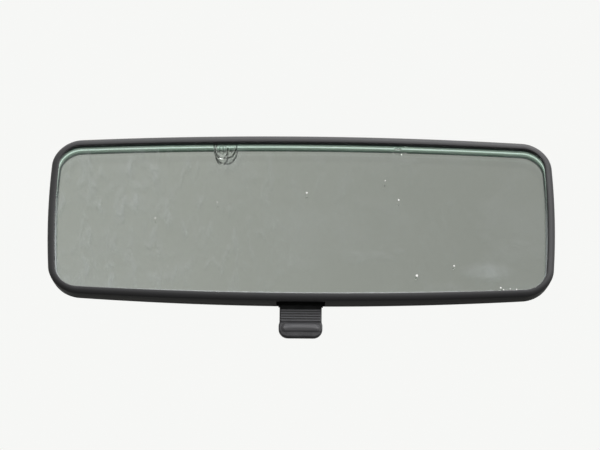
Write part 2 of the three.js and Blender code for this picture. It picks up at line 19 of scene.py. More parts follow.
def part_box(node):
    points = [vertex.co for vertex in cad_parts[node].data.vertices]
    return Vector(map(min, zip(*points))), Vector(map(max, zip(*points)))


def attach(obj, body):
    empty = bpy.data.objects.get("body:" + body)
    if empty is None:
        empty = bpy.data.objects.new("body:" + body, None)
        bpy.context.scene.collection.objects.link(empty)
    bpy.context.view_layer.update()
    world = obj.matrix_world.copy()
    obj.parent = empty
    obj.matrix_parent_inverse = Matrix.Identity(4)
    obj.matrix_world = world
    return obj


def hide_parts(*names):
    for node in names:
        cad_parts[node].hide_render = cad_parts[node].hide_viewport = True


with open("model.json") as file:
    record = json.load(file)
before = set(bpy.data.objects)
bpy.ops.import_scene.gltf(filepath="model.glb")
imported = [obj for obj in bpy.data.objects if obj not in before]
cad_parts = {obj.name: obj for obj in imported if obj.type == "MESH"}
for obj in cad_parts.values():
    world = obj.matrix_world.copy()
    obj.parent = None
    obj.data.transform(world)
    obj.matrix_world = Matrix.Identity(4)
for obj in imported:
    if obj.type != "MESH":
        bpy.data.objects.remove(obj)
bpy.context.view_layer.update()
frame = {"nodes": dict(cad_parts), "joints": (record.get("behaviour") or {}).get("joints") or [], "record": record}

MM = 0.001

# --- places from the frame

bezel_low, bezel_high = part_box("front_bezel")
glass_low, glass_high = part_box("mirror_glass")
lever_low, lever_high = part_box("dipping_lever")
JOINTS = {joint["name"]: joint for joint in frame["joints"]}

HALF_WIDTH = (bezel_high.x - bezel_low.x) / 2
HALF_HEIGHT = (bezel_high.z - bezel_low.z) / 2
HEAD = Vector((0, bezel_low.y, (bezel_low.z + bezel_high.z) / 2))
BALL = Vector(JOINTS["head_swivel"]["pos_m"])
LEVER_AXIS = Vector(JOINTS["lever_swing"]["pos_m"])
INTO_WINDSCREEN = Vector(frame["record"]["mounts"][0]["axis"])

GLASS_FRONT = glass_low.y - HEAD.y
GLASS_DEEPEST = glass_high.y - HEAD.y
GLASS_INSET = HALF_WIDTH - (glass_high.x - glass_low.x) / 2
GLASS_THIN_EDGE = 2.5 * MM
GLASS_HALF_HEIGHT = HALF_HEIGHT - GLASS_INSET
TOP_GAP = 1.05 * MM
WEDGE_SLOPE = (GLASS_DEEPEST - GLASS_FRONT - GLASS_THIN_EDGE) / (2 * GLASS_HALF_HEIGHT)

RIM_DEPTH = 12.3 * MM
END_TAPER = 0.72
TOP_BOW = 3.5 * MM
SIDE_BOW = 2.1 * MM
CORNER_RADIUS = 13 * MM
TAB_SHOULDER = HEAD.z - 42.5 * MM
TAB_BACK = LEVER_AXIS.y - 1.9 * MM
TAB_FRONT = TAB_BACK - 2.7 * MM

# --- node trees


class Number:
    """A number socket. Arithmetic on it adds Math nodes to its tree."""

    def __init__(self, graph, socket):
        self.graph = graph
        self.socket = socket

    def __add__(self, other):
        return self.graph.math("ADD", self, other)

    __radd__ = __add__

    def __sub__(self, other):
        return self.graph.math("SUBTRACT", self, other)

    def __rsub__(self, other):
        return self.graph.math("SUBTRACT", other, self)

    def __mul__(self, other):
        return self.graph.math("MULTIPLY", self, other)

    __rmul__ = __mul__

    def __truediv__(self, other):
        return self.graph.math("DIVIDE", self, other)

    def __pow__(self, other):
        return self.graph.math("POWER", self, other)

    def __abs__(self):
        return self.graph.math("ABSOLUTE", self)

    def larger(self, other):
        return self.graph.math("MAXIMUM", self, other)

    def smaller(self, other):
        return self.graph.math("MINIMUM", self, other)

    def smooth(self, low, high):
        """0 below low, 1 above high, and an S-curve between."""
        inputs = {"Value": self, "From Min": low, "From Max": high}
        made = self.graph.node("ShaderNodeMapRange", inputs, interpolation_type="SMOOTHSTEP")
        return Number(self.graph, made.outputs["Result"])


class Graph:
    """A node tree with one way to add any node."""

    def __init__(self, tree):
        self.tree = tree

    def node(self, kind, inputs=None, **settings):
        """Adds a node: its settings first, then the values or links of its sockets."""
        made = self.tree.nodes.new(kind)
        for key, value in settings.items():
            setattr(made, key, value)
        for key, value in (inputs or {}).items():
            if isinstance(value, Number):
                value = value.socket
            if isinstance(value, bpy.types.NodeSocket):
                self.tree.links.new(value, made.inputs[key])
            else:
                made.inputs[key].default_value = value
        return made

    def math(self, operation, *values):
        made = self.node("ShaderNodeMath", dict(enumerate(values)), operation=operation)
        return Number(self, made.outputs[0])

    def vector(self, operation, *values):
        return self.node("ShaderNodeVectorMath", dict(enumerate(values)), operation=operation).outputs

    def axes(self, vector):
        parts = self.node("ShaderNodeSeparateXYZ", {0: vector}).outputs
        return [Number(self, part) for part in parts]

    def mix(self, factor, first, second):
        """Mixes two colours, each three numbers or a socket."""
        first, second = ((*shade, 1) if isinstance(shade, tuple) else shade for shade in (first, second))
        made = self.node("ShaderNodeMix", {0: factor, 6: first, 7: second}, data_type="RGBA")
        return made.outputs[2]

    def mix_shaders(self, factor, first, second):
        return self.node("ShaderNodeMixShader", {0: factor, 1: first, 2: second}).outputs[0]

    def link(self, source, target):
        self.tree.links.new(source.socket if isinstance(source, Number) else source, target)


class Finish(Graph):
    """A material: a Principled shader with constants, and fields over the surface."""

    def __init__(self, name, **constants):
        self.material = bpy.data.materials.new(name)
        self.material.use_nodes = True
        super().__init__(self.material.node_tree)
        self.tree.nodes.clear()
        sockets = {socket.replace("_", " "): value for socket, value in constants.items()}
        self.shader = self.node("ShaderNodeBsdfPrincipled", sockets)
        self.output = self.node("ShaderNodeOutputMaterial", {"Surface": self.shader.outputs[0]})
        self.place = self.node("ShaderNodeTexCoord").outputs["Object"]

    def noise(self, size, detail, stretch=None, distortion=0.0):
        """Cloudy values near 0.5, with features this big in mm where stretch is 1 along an axis."""
        place = self.place
        if stretch:
            place = self.node("ShaderNodeMapping", {"Vector": place, "Scale": stretch}).outputs["Vector"]
        inputs = {"Vector": place, "Scale": 1 / (size * MM), "Detail": detail, "Distortion": distortion}
        return Number(self, self.node("ShaderNodeTexNoise", inputs).outputs["Fac"])

    def cells(self, size):
        """Distance from the nearest of scattered points about this many mm apart."""
        inputs = {"Vector": self.place, "Scale": 1 / (size * MM)}
        return Number(self, self.node("ShaderNodeTexVoronoi", inputs).outputs["Distance"])

    def dots(self, size, share):
        """Mask of round dots this many mm apart; share gives where a dot's edge fades."""
        return 1 - self.cells(size).smooth(*share)

    def facing_up(self):
        """1 where the surface faces up, falling to -1 underneath."""
        normal = self.node("ShaderNodeNewGeometry").outputs["Normal"]
        return self.axes(normal)[2]

    def rings(self, across, up, half_width, half_height):
        """Distance from an oval's middle over the front of the head, 1 at its edge; sizes in mm."""
        centre = HEAD + Vector((across * MM, 0, up * MM))
        away = self.vector("SUBTRACT", self.place, centre)[0]
        scaled = self.vector("MULTIPLY", away, (1 / (half_width * MM), 0, 1 / (half_height * MM)))[0]
        return Number(self, self.vector("LENGTH", scaled)["Value"])

    def diffuse(self, *colour):
        return self.node("ShaderNodeBsdfDiffuse", {"Color": (*colour, 1)}).outputs[0]

    def set(self, socket, value):
        self.link(value, self.shader.inputs[socket])

    def paint(self, factor, first, second):
        """Base colour mixed from two."""
        self.set("Base Color", self.mix(factor, first, second))

    def relief(self, height, depth, strength=1.0, edge_radius=None):
        """Bumps the surface by height times depth, with edges softened by edge_radius, in mm."""
        inputs = {"Height": height, "Distance": depth * MM, "Strength": strength}
        if edge_radius:
            softened = self.node("ShaderNodeBevel", {"Radius": edge_radius * MM}, samples=4)
            inputs["Normal"] = softened.outputs["Normal"]
        self.set("Normal", self.node("ShaderNodeBump", inputs).outputs["Normal"])


def grey(value):
    return (value, value, value)


# --- finishes

MATERIALS = {}


def finish_with(**constants):
    """Makes the material that the function below it describes, with the same name."""

    def make(describe):
        finish = Finish(describe.__name__, **constants)
        describe(finish)
        MATERIALS[describe.__name__] = finish.material
        return describe

    return make


@finish_with(Specular_IOR_Level=0.45)
def charcoal_plastic(finish):
    """Moulded charcoal polypropylene: fine grain, faint flow marks, handling polish and dust."""
    flow = finish.noise(26, detail=4, stretch=(0.5, 1, 1.6))
    grain = finish.cells(0.34)
    fine = finish.noise(0.5, detail=2)
    dust = finish.facing_up().smooth(0.35, 1.0) * finish.noise(4, detail=8).smooth(0.3, 0.8)
    flecks = finish.dots(2.6, (0.03, 0.05))
    body = finish.mix(flow, (0.036, 0.035, 0.038), (0.050, 0.050, 0.053))
    finish.paint(dust * 0.16 + flecks * 0.12, body, (0.23, 0.225, 0.21))
    finish.set("Roughness", 0.44 + flow * 0.10 + fine * 0.08 + dust * 0.12)
    finish.relief(grain * 0.7 + fine * 0.5, 0.035, strength=0.5)


@finish_with(Specular_IOR_Level=0.5)
def lever_plastic(finish):
    """The same plastic where fingers reach it, with scuffs; a painted highlight makes its ridges paler and painted
    shade makes its neck dark, and the neck is also duller.
    """
    handled = finish.noise(5, detail=5).smooth(0.35, 0.7)
    fine = finish.noise(0.35, detail=2)
    scuffs = finish.noise(0.5, detail=4, stretch=(0.12, 1, 1)).smooth(0.62, 0.72)
    _, depth, height = finish.axes(finish.place)
    # Painted shade mask: the neck above the tab's shoulder, under the bezel; it also raises the roughness there
    shaded_dull_neck = height.smooth(TAB_SHOULDER, TAB_SHOULDER + 0.4 * MM)
    # Painted highlight mask: the ribs and lip that stand out forwards
    ridge_highlight = 1 - depth.smooth(TAB_FRONT - 1.05 * MM, TAB_FRONT - 0.4 * MM)
    body = finish.mix(handled, (0.052, 0.051, 0.056), (0.070, 0.069, 0.075))
    # Painted highlight: the forward ridges are painted paler, as if catching light
    body = finish.mix(ridge_highlight, body, (0.165, 0.163, 0.174))
    # Painted shade: the neck is painted near black
    body = finish.mix(shaded_dull_neck, body, (0.009, 0.009, 0.010))
    finish.paint(scuffs * 0.18, body, grey(0.22))
    finish.set("Roughness", 0.34 + handled * 0.12 + scuffs * 0.1 + shaded_dull_neck * 0.4)
    finish.relief(fine * 0.5 + scuffs * 0.3, 0.03, strength=0.4)


GLASS = {"IOR": 1.52, "Transmission_Weight": 1.0}

# Chips along the glass's front edge: (across, up, half width, half height, depth) in mm.
# The first is the large one and the second is the break inside it.
CHIPS = [
    (-36.6, 36.2, 5.8, 7.4, 0.4), (-38.4, 33.4, 3.2, 4.7, 0.5),
    (45.8, 36.9, 2.6, 2.9, 0.35), (49.6, 37.4, 1.5, 1.9, 0.35),
]

# Specks stuck to the glass: (across, up, radius) in mm from the head's middle
SPECKS = [
    (2.45, 12.5, 0.50), (46.1, 9.3, 0.46), (39.7, 18.9, 0.34), (-69.2, -0.6, 0.36),
    (54.5, -27.7, 0.66), (72.1, -22.8, 0.42), (93.9, -33.3, 0.48), (95.2, -34.2, 0.30),
    (98.3, -33.7, 0.26), (101.3, -34.0, 0.34), (-40.0, 7.5, 0.26),
]

# Where a wipe has left its film: (across, up, half width, half height) in mm
WIPED_PATCH = (88, -25.5, 15, 5.5)


def inside_outline(finish):
    """Distance in from the head's outline, and height above its middle, over its front."""
    x, _, up_from_middle = finish.axes(finish.vector("SUBTRACT", finish.place, HEAD)[0])
    across, up = x / HALF_WIDTH, up_from_middle / HALF_HEIGHT
    x = abs(x + SIDE_BOW * across * up * up) - (HALF_WIDTH - CORNER_RADIUS)
    z = abs(up_from_middle + TOP_BOW * up * across * across) - (HALF_HEIGHT - CORNER_RADIUS)
    corner = (x.larger(0) ** 2 + z.larger(0) ** 2) ** 0.5
    straight = x.larger(z).smaller(0)
    return CORNER_RADIUS - corner - straight, up_from_middle


@finish_with(Base_Color=(0.965, 0.985, 0.968, 1), Roughness=0.0, **GLASS)
def prism_glass(finish):
    """Clear float glass: a wiped film of haze, fine dust, specks, and grime where it meets the lip."""
    streaks = finish.noise(6, detail=6, stretch=(1.3, 1, 0.5), distortion=0.9)
    clouds = finish.noise(30, detail=5, distortion=0.6)
    smears = finish.noise(17, detail=3, stretch=(0.6, 1, 1), distortion=1.4)
    across = finish.axes(finish.place)[0]
    inset, up = inside_outline(finish)
    towards_left = 1 - across.smooth(-0.1, 0.03)
    ends = 1 - across.smooth(-0.092, -0.062) + across.smooth(0.085, 0.108) * 0.7
    low = 1 - up.smooth(-0.02, 0.022)
    lowest = 1 - up.smooth(-0.037, -0.024)
    wiped = 1 - finish.rings(*WIPED_PATCH).smooth(0.3, 1.05)
    haze = ends * 0.03 + ends * lowest * 0.07
    haze = haze + clouds.smooth(0.45, 0.75) * 0.05 + smears.smooth(0.58, 0.75) * 0.06
    haze = haze + streaks.smooth(0.48, 0.75) * (0.03 + towards_left * 0.13)
    haze = haze + wiped * (0.05 + streaks * 0.14)
    fine_dust = finish.dots(1.7, (0.05, 0.09)) * clouds.smooth(0.42, 0.6) * 0.22
    ragged = finish.noise(2.5, detail=4) * 0.7 * MM
    grime = (1 - (inset + ragged).smooth(4.0 * MM, 4.9 * MM)) * (0.16 + low * 0.8)
    specks = [1 - finish.rings(x, z, radius, radius).smooth(0.75, 1) for x, z, radius in SPECKS]
    film = finish.diffuse(0.62, 0.655, 0.67)
    hazy = finish.mix_shaders(haze.larger(fine_dust).larger(grime), finish.shader.outputs[0], film)
    on_glass = functools.reduce(Number.larger, specks)
    look = finish.mix_shaders(on_glass, hazy, finish.diffuse(0.92, 0.92, 0.90))
    finish.link(look, finish.output.inputs["Surface"])


@finish_with(Base_Color=(0.93, 0.98, 0.95, 1), Roughness=0.03, **GLASS)
def chipped_glass(finish):
    """Fresh break in the glass: clear, with dark fracture lines, pale fringes and a little crush."""
    broken = finish.noise(1.7, detail=3)
    whole, inner = (finish.rings(*chip[:4]) for chip in CHIPS[:2])
    line = lambda rings, at, half: 1 - abs(rings - at).smooth(half * 0.3, half)
    dark = line(whole + broken * 0.08, 0.98, 0.09).larger(line(inner + broken * 0.1, 0.98, 0.16))
    pale = line(whole, 0.80, 0.10).larger(line(inner, 0.70, 0.14))
    crush = finish.noise(0.8, detail=4).smooth(0.64, 0.72)
    look = finish.shader.outputs[0]
    dark = dark * broken.smooth(0.36, 0.5)
    look = finish.mix_shaders(dark * 0.85, look, finish.diffuse(0.03, 0.035, 0.03))
    look = finish.mix_shaders(pale * 0.22, look, finish.diffuse(0.62, 0.66, 0.62))
    look = finish.mix_shaders(crush * 0.3, look, finish.diffuse(0.60, 0.63, 0.60))
    finish.link(look, finish.output.inputs["Surface"])


@finish_with(Roughness=0.0, Metallic=1.0)
def silver_coat(finish):
    """Silver on the back of the glass, with a little cloudiness in its colour."""
    finish.paint(finish.noise(60, detail=3), (0.80, 0.835, 0.80), (0.87, 0.895, 0.865))


# The emission strength makes the edge glow with its painted light and shade, though it is no lamp
@finish_with(Roughness=0.55, Emission_Strength=0.55)
def ground_edge(finish):
    """Ground glass edge: grinding lines, with painted shade dark green under the lip and painted light pale
    towards the silver, which the edge also gives out as a painted glow.
    """
    lines = finish.noise(0.5, detail=4, stretch=(0.05, 1, 1))
    patches = finish.noise(14, detail=3)
    _, depth, height = finish.axes(finish.place)
    thin_end = HEAD.z - GLASS_HALF_HEIGHT
    thickness = (height - thin_end) * WEDGE_SLOPE + GLASS_THIN_EDGE
    share = (depth - (HEAD.y + GLASS_FRONT)) / thickness
    # Painted light: the part towards the silver is pale, with the grinding lines in it
    pale = finish.mix(lines * 0.4 + patches * 0.6, (0.62, 0.80, 0.70), (0.80, 0.94, 0.86))
    # Painted shade: dark green under the lip, mid green between
    middle = finish.mix(share.smooth(0.2, 0.45), (0.05, 0.085, 0.065), (0.20, 0.27, 0.225))
    shade = finish.mix(share.smooth(0.66, 0.86), middle, pale)
    finish.set("Base Color", shade)
    # The painted light and shade is also given out as glow
    finish.set("Emission Color", shade)
    finish.relief(lines, 0.04, strength=0.5)


@finish_with(Coat_Weight=0.3)
def backing_film(finish):
    """Grey protective paint under a clear safety film, with small bubbles."""
    cloud = finish.noise(12, detail=5)
    finish.paint(cloud, (0.11, 0.12, 0.14), (0.16, 0.17, 0.19))
    finish.set("Roughness", 0.38 + cloud * 0.18)
    finish.relief(finish.dots(5, (0.04, 0.09)) + cloud * 0.3, 0.06, strength=0.6)


@finish_with(Roughness=0.95, Specular_IOR_Level=0.2)
def black_foam(finish):
    """Open-cell foam."""
    pores = finish.cells(0.7).smooth(0.1, 0.6)
    finish.paint(pores, grey(0.008), (0.042, 0.042, 0.045))
    finish.relief(pores, 0.3)


@finish_with(Specular_IOR_Level=0.35)
def black_rubber(finish):
    """Moulded rubber with a little bloom."""
    bloom = finish.noise(2.5, detail=5)
    finish.paint(bloom.smooth(0.4, 0.8), grey(0.016), grey(0.034))
    finish.set("Roughness", 0.62 + bloom * 0.2)
    finish.relief(bloom, 0.05, strength=0.5, edge_radius=0.2)


@finish_with(Subsurface_Weight=0.25, Subsurface_Scale=0.002)
def natural_nylon(finish):
    """Uncoloured moulded nylon: milky, slightly glossy, with flow lines."""
    flow = finish.noise(6, detail=4, distortion=0.6)
    finish.paint(flow, (0.60, 0.57, 0.48), (0.72, 0.69, 0.60))
    finish.set("Roughness", 0.32 + flow * 0.15)
    finish.relief(flow, 0.05, strength=0.3, edge_radius=0.25)


@finish_with(Metallic=1.0)
def zinc_plate(finish):
    """Bright zinc plating: fine drawn lines, bluish and straw tints, dull spots."""
    drawn = finish.noise(0.25, detail=3, stretch=(0.15, 1, 1))
    tint = finish.noise(4, detail=3)
    dull = finish.noise(1.2, detail=4).smooth(0.6, 0.75)
    tinted = finish.mix(tint.smooth(0.35, 0.65), (0.50, 0.52, 0.56), (0.60, 0.57, 0.49))
    finish.paint(dull * 0.35, tinted, grey(0.30))
    finish.set("Roughness", 0.24 + drawn * 0.12 + dull * 0.25)
    finish.relief(drawn, 0.02, strength=0.4, edge_radius=0.18)


@finish_with(Metallic=1.0)
def spring_steel(finish):
    """Drawn wire with faint heat tints."""
    drawn = finish.noise(0.3, detail=3)
    finish.paint(finish.noise(3, detail=2), (0.34, 0.35, 0.38), (0.47, 0.46, 0.44))
    finish.set("Roughness", 0.2 + drawn * 0.18)
    finish.relief(drawn, 0.015, strength=0.4, edge_radius=0.1)


@finish_with(Coat_Weight=0.15, Coat_Roughness=0.3)
def powder_coat(finish):
    """Satin black powder coat: orange peel, fine specks and dust on what faces up."""
    peel = finish.noise(0.9, detail=2)
    specks = finish.dots(1.4, (0.05, 0.09))
    cloud = finish.noise(11, detail=4)
    dust = finish.facing_up().smooth(0.5, 1.0) * finish.noise(6, detail=5).smooth(0.4, 0.8)
    body = finish.mix(cloud, (0.018, 0.019, 0.021), (0.030, 0.031, 0.033))
    finish.paint(dust * 0.15 + specks * 0.08, body, grey(0.25))
    finish.set("Roughness", 0.34 + cloud * 0.12 + dust * 0.2)
    finish.relief(peel + specks * 0.3, 0.05, strength=0.45, edge_radius=0.35)


@finish_with(Metallic=1.0)
def polished_chrome(finish):
    """Chromed ball and stud, with grease smears near the socket."""
    smear = finish.noise(3, detail=5, distortion=0.7).smooth(0.5, 0.75)
    fine = finish.noise(0.2, detail=2)
    finish.paint(smear * 0.3, (0.72, 0.73, 0.74), (0.42, 0.40, 0.34))
    finish.set("Roughness", 0.06 + smear * 0.22 + fine * 0.03)
    finish.relief(fine, 0.005, strength=0.3)


@finish_with(Coat_Weight=0.2)
def cured_adhesive(finish):
    """Clear resin film with trapped bubbles."""
    cloud = finish.noise(3, detail=4)
    bubbles = finish.dots(0.9, (0.08, 0.2))
    finish.paint(cloud, (0.26, 0.27, 0.23), (0.38, 0.38, 0.33))
    finish.set("Roughness", 0.4 + cloud * 0.25)
    finish.relief(bubbles + cloud * 0.4, 0.05, strength=0.6, edge_radius=0.15)


# --- mesh helpers

CORNER_STEPS = 20
LONG_STEPS = 80
SHORT_STEPS = 28
SAME_POINT = 1e-7
SAME_CAD_POINT = 1e-6
POLE_RADIUS = 1e-6
FLAT = math.radians(0.5)


def rounded_rectangle(half_x, half_z, radius):
    """(x, z) points anticlockwise from the right-hand side; always the same number of points."""
    corners = []
    for quarter, side in enumerate([(1, 1), (-1, 1), (-1, -1), (1, -1)]):
        angles = (quarter + np.arange(CORNER_STEPS + 1) / CORNER_STEPS) * math.pi / 2
        middle = np.array(side) * (half_x - radius, half_z - radius)
        corners.append(middle + radius * np.column_stack((np.cos(angles), np.sin(angles))))
    points = []
    for quarter, corner in enumerate(corners):
        start, end = corner[-1], corners[(quarter + 1) % 4][0]
        steps = SHORT_STEPS if quarter % 2 else LONG_STEPS
        straight = start + np.outer(np.arange(1, steps) / steps, end - start)
        points += [corner, straight]
    return np.vstack(points)


def outline(inset, radius=None):
    """The head's bowed outline moved inwards by inset."""
    plain = rounded_rectangle(HALF_WIDTH - inset, HALF_HEIGHT - inset, radius or CORNER_RADIUS - inset)
    across, up = plain[:, 0] / HALF_WIDTH, plain[:, 1] / HALF_HEIGHT
    return plain - np.column_stack((SIDE_BOW * across * up**2, TOP_BOW * up * across**2))


def with_depth(points, depth):
    """Adds the depth, a number or a function of x and z, to (x, z) points."""
    values = depth(points[:, 0], points[:, 1]) if callable(depth) else np.full(len(points), depth)
    return np.column_stack((points[:, 0], values, points[:, 1]))


def refined(rows, steps):
    """Rows of numbers with a smooth curve through them, in this many steps a span."""
    rows = np.asarray(rows, float)
    padded = np.vstack((2 * rows[0] - rows[1], rows, 2 * rows[-1] - rows[-2]))
    curve = []
    for before, start, end, after in zip(padded, padded[1:], padded[2:], padded[3:]):
        for share in np.arange(steps) / steps:
            curve.append(0.5 * (
                2 * start
                + (end - before) * share
                + (2 * before - 5 * start + 4 * end - after) * share**2
                + (3 * start - before - 3 * end + after) * share**3
            ))
    return np.array([*curve, rows[-1]])


def into_scene(name, data):
    made = bpy.data.objects.new(name, data)
    bpy.context.scene.collection.objects.link(made)
    return made


def new_object(name, mesh, *materials):
    piece = into_scene(name, mesh)
    for material in materials:
        mesh.materials.append(MATERIALS[material])
    return piece


def loft(name, loops, *materials, ring=False, capped=True, origin=HEAD):
    """Skins a row of loops with the same number of points."""
    size = len(loops[0])
    faces = []
    for band in range(len(loops) if ring else len(loops) - 1):
        near, far = band * size, (band + 1) % len(loops) * size
        for step in range(size):
            after = (step + 1) % size
            faces.append((near + step, near + after, far + after, far + step))
    if not ring and capped:
        last = (len(loops) - 1) * size
        faces += [tuple(range(size)), tuple(range(last, last + size))]
    mesh = bpy.data.meshes.new(name)
    mesh.from_pydata([tuple(point) for point in np.vstack(loops) + np.array(origin)], [], faces)
    face_outwards(mesh)
    return new_object(name, mesh, *materials)


@contextlib.contextmanager
def reshaping(mesh):
    """Opens a mesh for bmesh work and writes it back afterwards."""
    work = bmesh.new()
    work.from_mesh(mesh)
    yield work
    work.to_mesh(mesh)
    work.free()


def face_outwards(mesh):
    with reshaping(mesh) as work:
        bmesh.ops.remove_doubles(work, verts=work.verts, dist=SAME_POINT)
        bmesh.ops.recalc_face_normals(work, faces=work.faces)


def smooth_below(piece, degrees):
    """Shades smooth, but keeps edges sharper than this."""
    with reshaping(piece.data) as work:
        for face in work.faces:
            face.smooth = True
        for edge in work.edges:
            edge.smooth = len(edge.link_faces) == 2 and edge.calc_face_angle(0) < math.radians(degrees)
    return piece


def settle(piece):
    """Applies the piece's modifiers."""
    graph = bpy.context.evaluated_depsgraph_get()
    mesh = bpy.data.meshes.new_from_object(piece.evaluated_get(graph), depsgraph=graph)
    piece.modifiers.clear()
    piece.data = mesh
    return piece


def combine(piece, operation, tool):
    """Joins the tool to the piece, or cuts the piece with it, and removes the tool."""
    boolean = piece.modifiers.new("combine", "BOOLEAN")
    boolean.operation = operation
    boolean.solver = "EXACT"
    boolean.object = tool
    settle(piece)
    bpy.data.objects.remove(tool)
    return piece


def rounded_block(name, low, high, radius, material, segments=3):
    """A box between two corners, in the model's frame, with rounded edges."""
    low, high = Vector(low), Vector(high)
    mesh = bpy.data.meshes.new(name)
    with reshaping(mesh) as work:
        bmesh.ops.create_cube(work, size=1)
        for vertex in work.verts:
            vertex.co = Vector([l + (c + 0.5) * (h - l) for c, l, h in zip(vertex.co, low, high)])
        bmesh.ops.bevel(
            work, geom=work.edges, offset=radius, segments=segments, profile=0.5, affect="EDGES",
        )
        bmesh.ops.recalc_face_normals(work, faces=work.faces)
    return new_object(name, mesh, material)


def turned(name, profile, material, origin, axis=Vector((0, 1, 0)), segments=64):
    """A round piece about an axis through origin; profile rows are (radius, distance along)."""
    across = axis.orthogonal().normalized()
    other = axis.cross(across)
    angles = np.arange(segments) * 2 * math.pi / segments
    loops = []
    for radius, along in profile:
        centre = np.array(axis * along)
        ring = [np.array(across * math.cos(angle) + other * math.sin(angle)) for angle in angles]
        loops.append(np.array(ring) * max(radius, POLE_RADIUS) + centre)
    return loft(name, loops, material, origin=origin)


def refine_copy(node, name, material, bevel=0.0, angle=30):
    """A clean copy of a CAD piece: doubles merged, flats joined, edges broken."""
    mesh = frame["nodes"][node].data.copy()
    mesh.materials.clear()
    with reshaping(mesh) as work:
        bmesh.ops.remove_doubles(work, verts=work.verts, dist=SAME_CAD_POINT)
        bmesh.ops.dissolve_limit(
            work, angle_limit=FLAT, verts=work.verts, edges=work.edges, use_dissolve_boundaries=False,
        )
    piece = new_object(name, mesh, material)
    if bevel:
        modifier = piece.modifiers.new("edges", "BEVEL")
        modifier.width = bevel
        modifier.segments = 2
        modifier.limit_method = "ANGLE"
        modifier.angle_limit = math.radians(angle)
        settle(piece)
    return smooth_below(piece, angle)


def show(piece, body, slot, *nodes):
    """Parents a finished piece to its body's empty and hides the CAD pieces it stands for."""
    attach(piece, body)
    if nodes:
        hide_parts(*nodes)


# --- geometry node trees


class Tree(Graph):
    """A Geometry Nodes tree with named inputs, run once on a mesh of points."""

    def __init__(self, name, **inputs):
        group = bpy.data.node_groups.new(name, "GeometryNodeTree")
        super().__init__(group)
        self.values = inputs
        add = group.interface.new_socket
        add("Geometry", in_out="INPUT", socket_type="NodeSocketGeometry")
        for label, value in inputs.items():
            add(label, in_out="INPUT", socket_type=self.kind_of(value))
        add("Geometry", in_out="OUTPUT", socket_type="NodeSocketGeometry")
        self.inlet = self.node("NodeGroupInput").outputs
        self.outlet = self.node("NodeGroupOutput")

    @staticmethod
    def kind_of(value):
        if isinstance(value, bpy.types.Object):
            return "NodeSocketObject"
        if isinstance(value, bpy.types.Material):
            return "NodeSocketMaterial"
        return "NodeSocketInt" if isinstance(value, int) else "NodeSocketFloat"

    def offset(self, **parts):
        return self.node("ShaderNodeCombineXYZ", parts).outputs[0]

    def tube(self, curve, radius, sides):
        """A smooth tube with closed ends along a curve."""
        inputs = {"Resolution": sides, "Radius": radius}
        section = self.node("GeometryNodeCurvePrimitiveCircle", inputs).outputs["Curve"]
        inputs = {"Curve": curve, "Profile Curve": section, "Fill Caps": True}
        mesh = self.node("GeometryNodeCurveToMesh", inputs).outputs[0]
        return self.node("GeometryNodeSetShadeSmooth", {"Geometry": mesh}).outputs[0]

    def copies(self, points, instance, turn_by=(0, 0, 0)):
        inputs = {"Points": points, "Instance": instance, "Rotation": turn_by}
        return self.node("GeometryNodeInstanceOnPoints", inputs).outputs[0]

    def finish(self, geometry):
        real = self.node("GeometryNodeRealizeInstances", {"Geometry": geometry}).outputs[0]
        inputs = {"Geometry": real, "Material": self.inlet["Material"]}
        made = self.node("GeometryNodeSetMaterial", inputs)
        self.link(made.outputs[0], self.outlet.inputs["Geometry"])
        return self

    def grow(self, name, points):
        """Runs the tree on a mesh of these points and returns the plain result."""
        mesh = bpy.data.meshes.new(name)
        mesh.from_pydata([tuple(point) for point in points], [], [])
        piece = new_object(name, mesh)
        modifier = piece.modifiers.new(name, "NODES")
        modifier.node_group = self.tree
        for item in self.tree.interface.items_tree:
            if item.in_out == "INPUT" and item.name in self.values:
                modifier[item.identifier] = self.values[item.name]
        return settle(piece)


def instances_tree(source, material):
    """Puts a copy of the source piece on every point."""
    tree = Tree("copies_on_points", Source=source, Material=MATERIALS[material])
    inputs = {"Object": tree.inlet["Source"], "As Instance": True}
    copy = tree.node("GeometryNodeObjectInfo", inputs).outputs["Geometry"]
    return tree.finish(tree.copies(tree.inlet["Geometry"], copy))


def coil_tree(turns, radius, wire, length, turn_by, material):
    """A coil spring on every point, along +Z of its own and then turned into place."""
    tree = Tree(
        "coil_springs", Turns=turns, Radius=radius, Wire=wire, Length=length,
        Material=MATERIALS[material],
    )
    spiral = tree.node("GeometryNodeCurveSpiral", {
        "Resolution": 40,
        "Rotations": tree.inlet["Turns"],
        "Start Radius": tree.inlet["Radius"],
        "End Radius": tree.inlet["Radius"],
        "Height": tree.inlet["Length"],
    })
    coil = tree.tube(spiral.outputs[0], tree.inlet["Wire"], 12)
    return tree.finish(tree.copies(tree.inlet["Geometry"], coil, turn_by))


def ribs_tree(count, pitch, length, radius, material):
    """A ladder of half-sunk round ribs along X, stepping down from every point."""
    tree = Tree(
        "finger_ribs", Count=count, Pitch=pitch, Length=length, Radius=radius,
        Material=MATERIALS[material],
    )
    half = tree.math("MULTIPLY", tree.inlet["Length"], 0.5)
    ends = {"Start": tree.offset(X=half * -1), "End": tree.offset(X=half)}
    line = tree.node("GeometryNodeCurvePrimitiveLine", ends).outputs[0]
    rib = tree.tube(line, tree.inlet["Radius"], 20)
    down = tree.offset(Z=tree.math("MULTIPLY", tree.inlet["Pitch"], -1.0))
    inputs = {"Count": tree.inlet["Count"], "Offset": down}
    ladder = tree.node("GeometryNodeMeshLine", inputs).outputs[0]
    return tree.finish(tree.copies(tree.inlet["Geometry"], tree.copies(ladder, rib)))


# --- glass


def glass_back(z):
    return GLASS_FRONT + GLASS_THIN_EDGE + (z + GLASS_HALF_HEIGHT) * WEDGE_SLOPE


def behind_glass(gap):
    """Depth at each point of a face that follows the glass's back at this distance."""
    return lambda x, z: glass_back(z) + gap


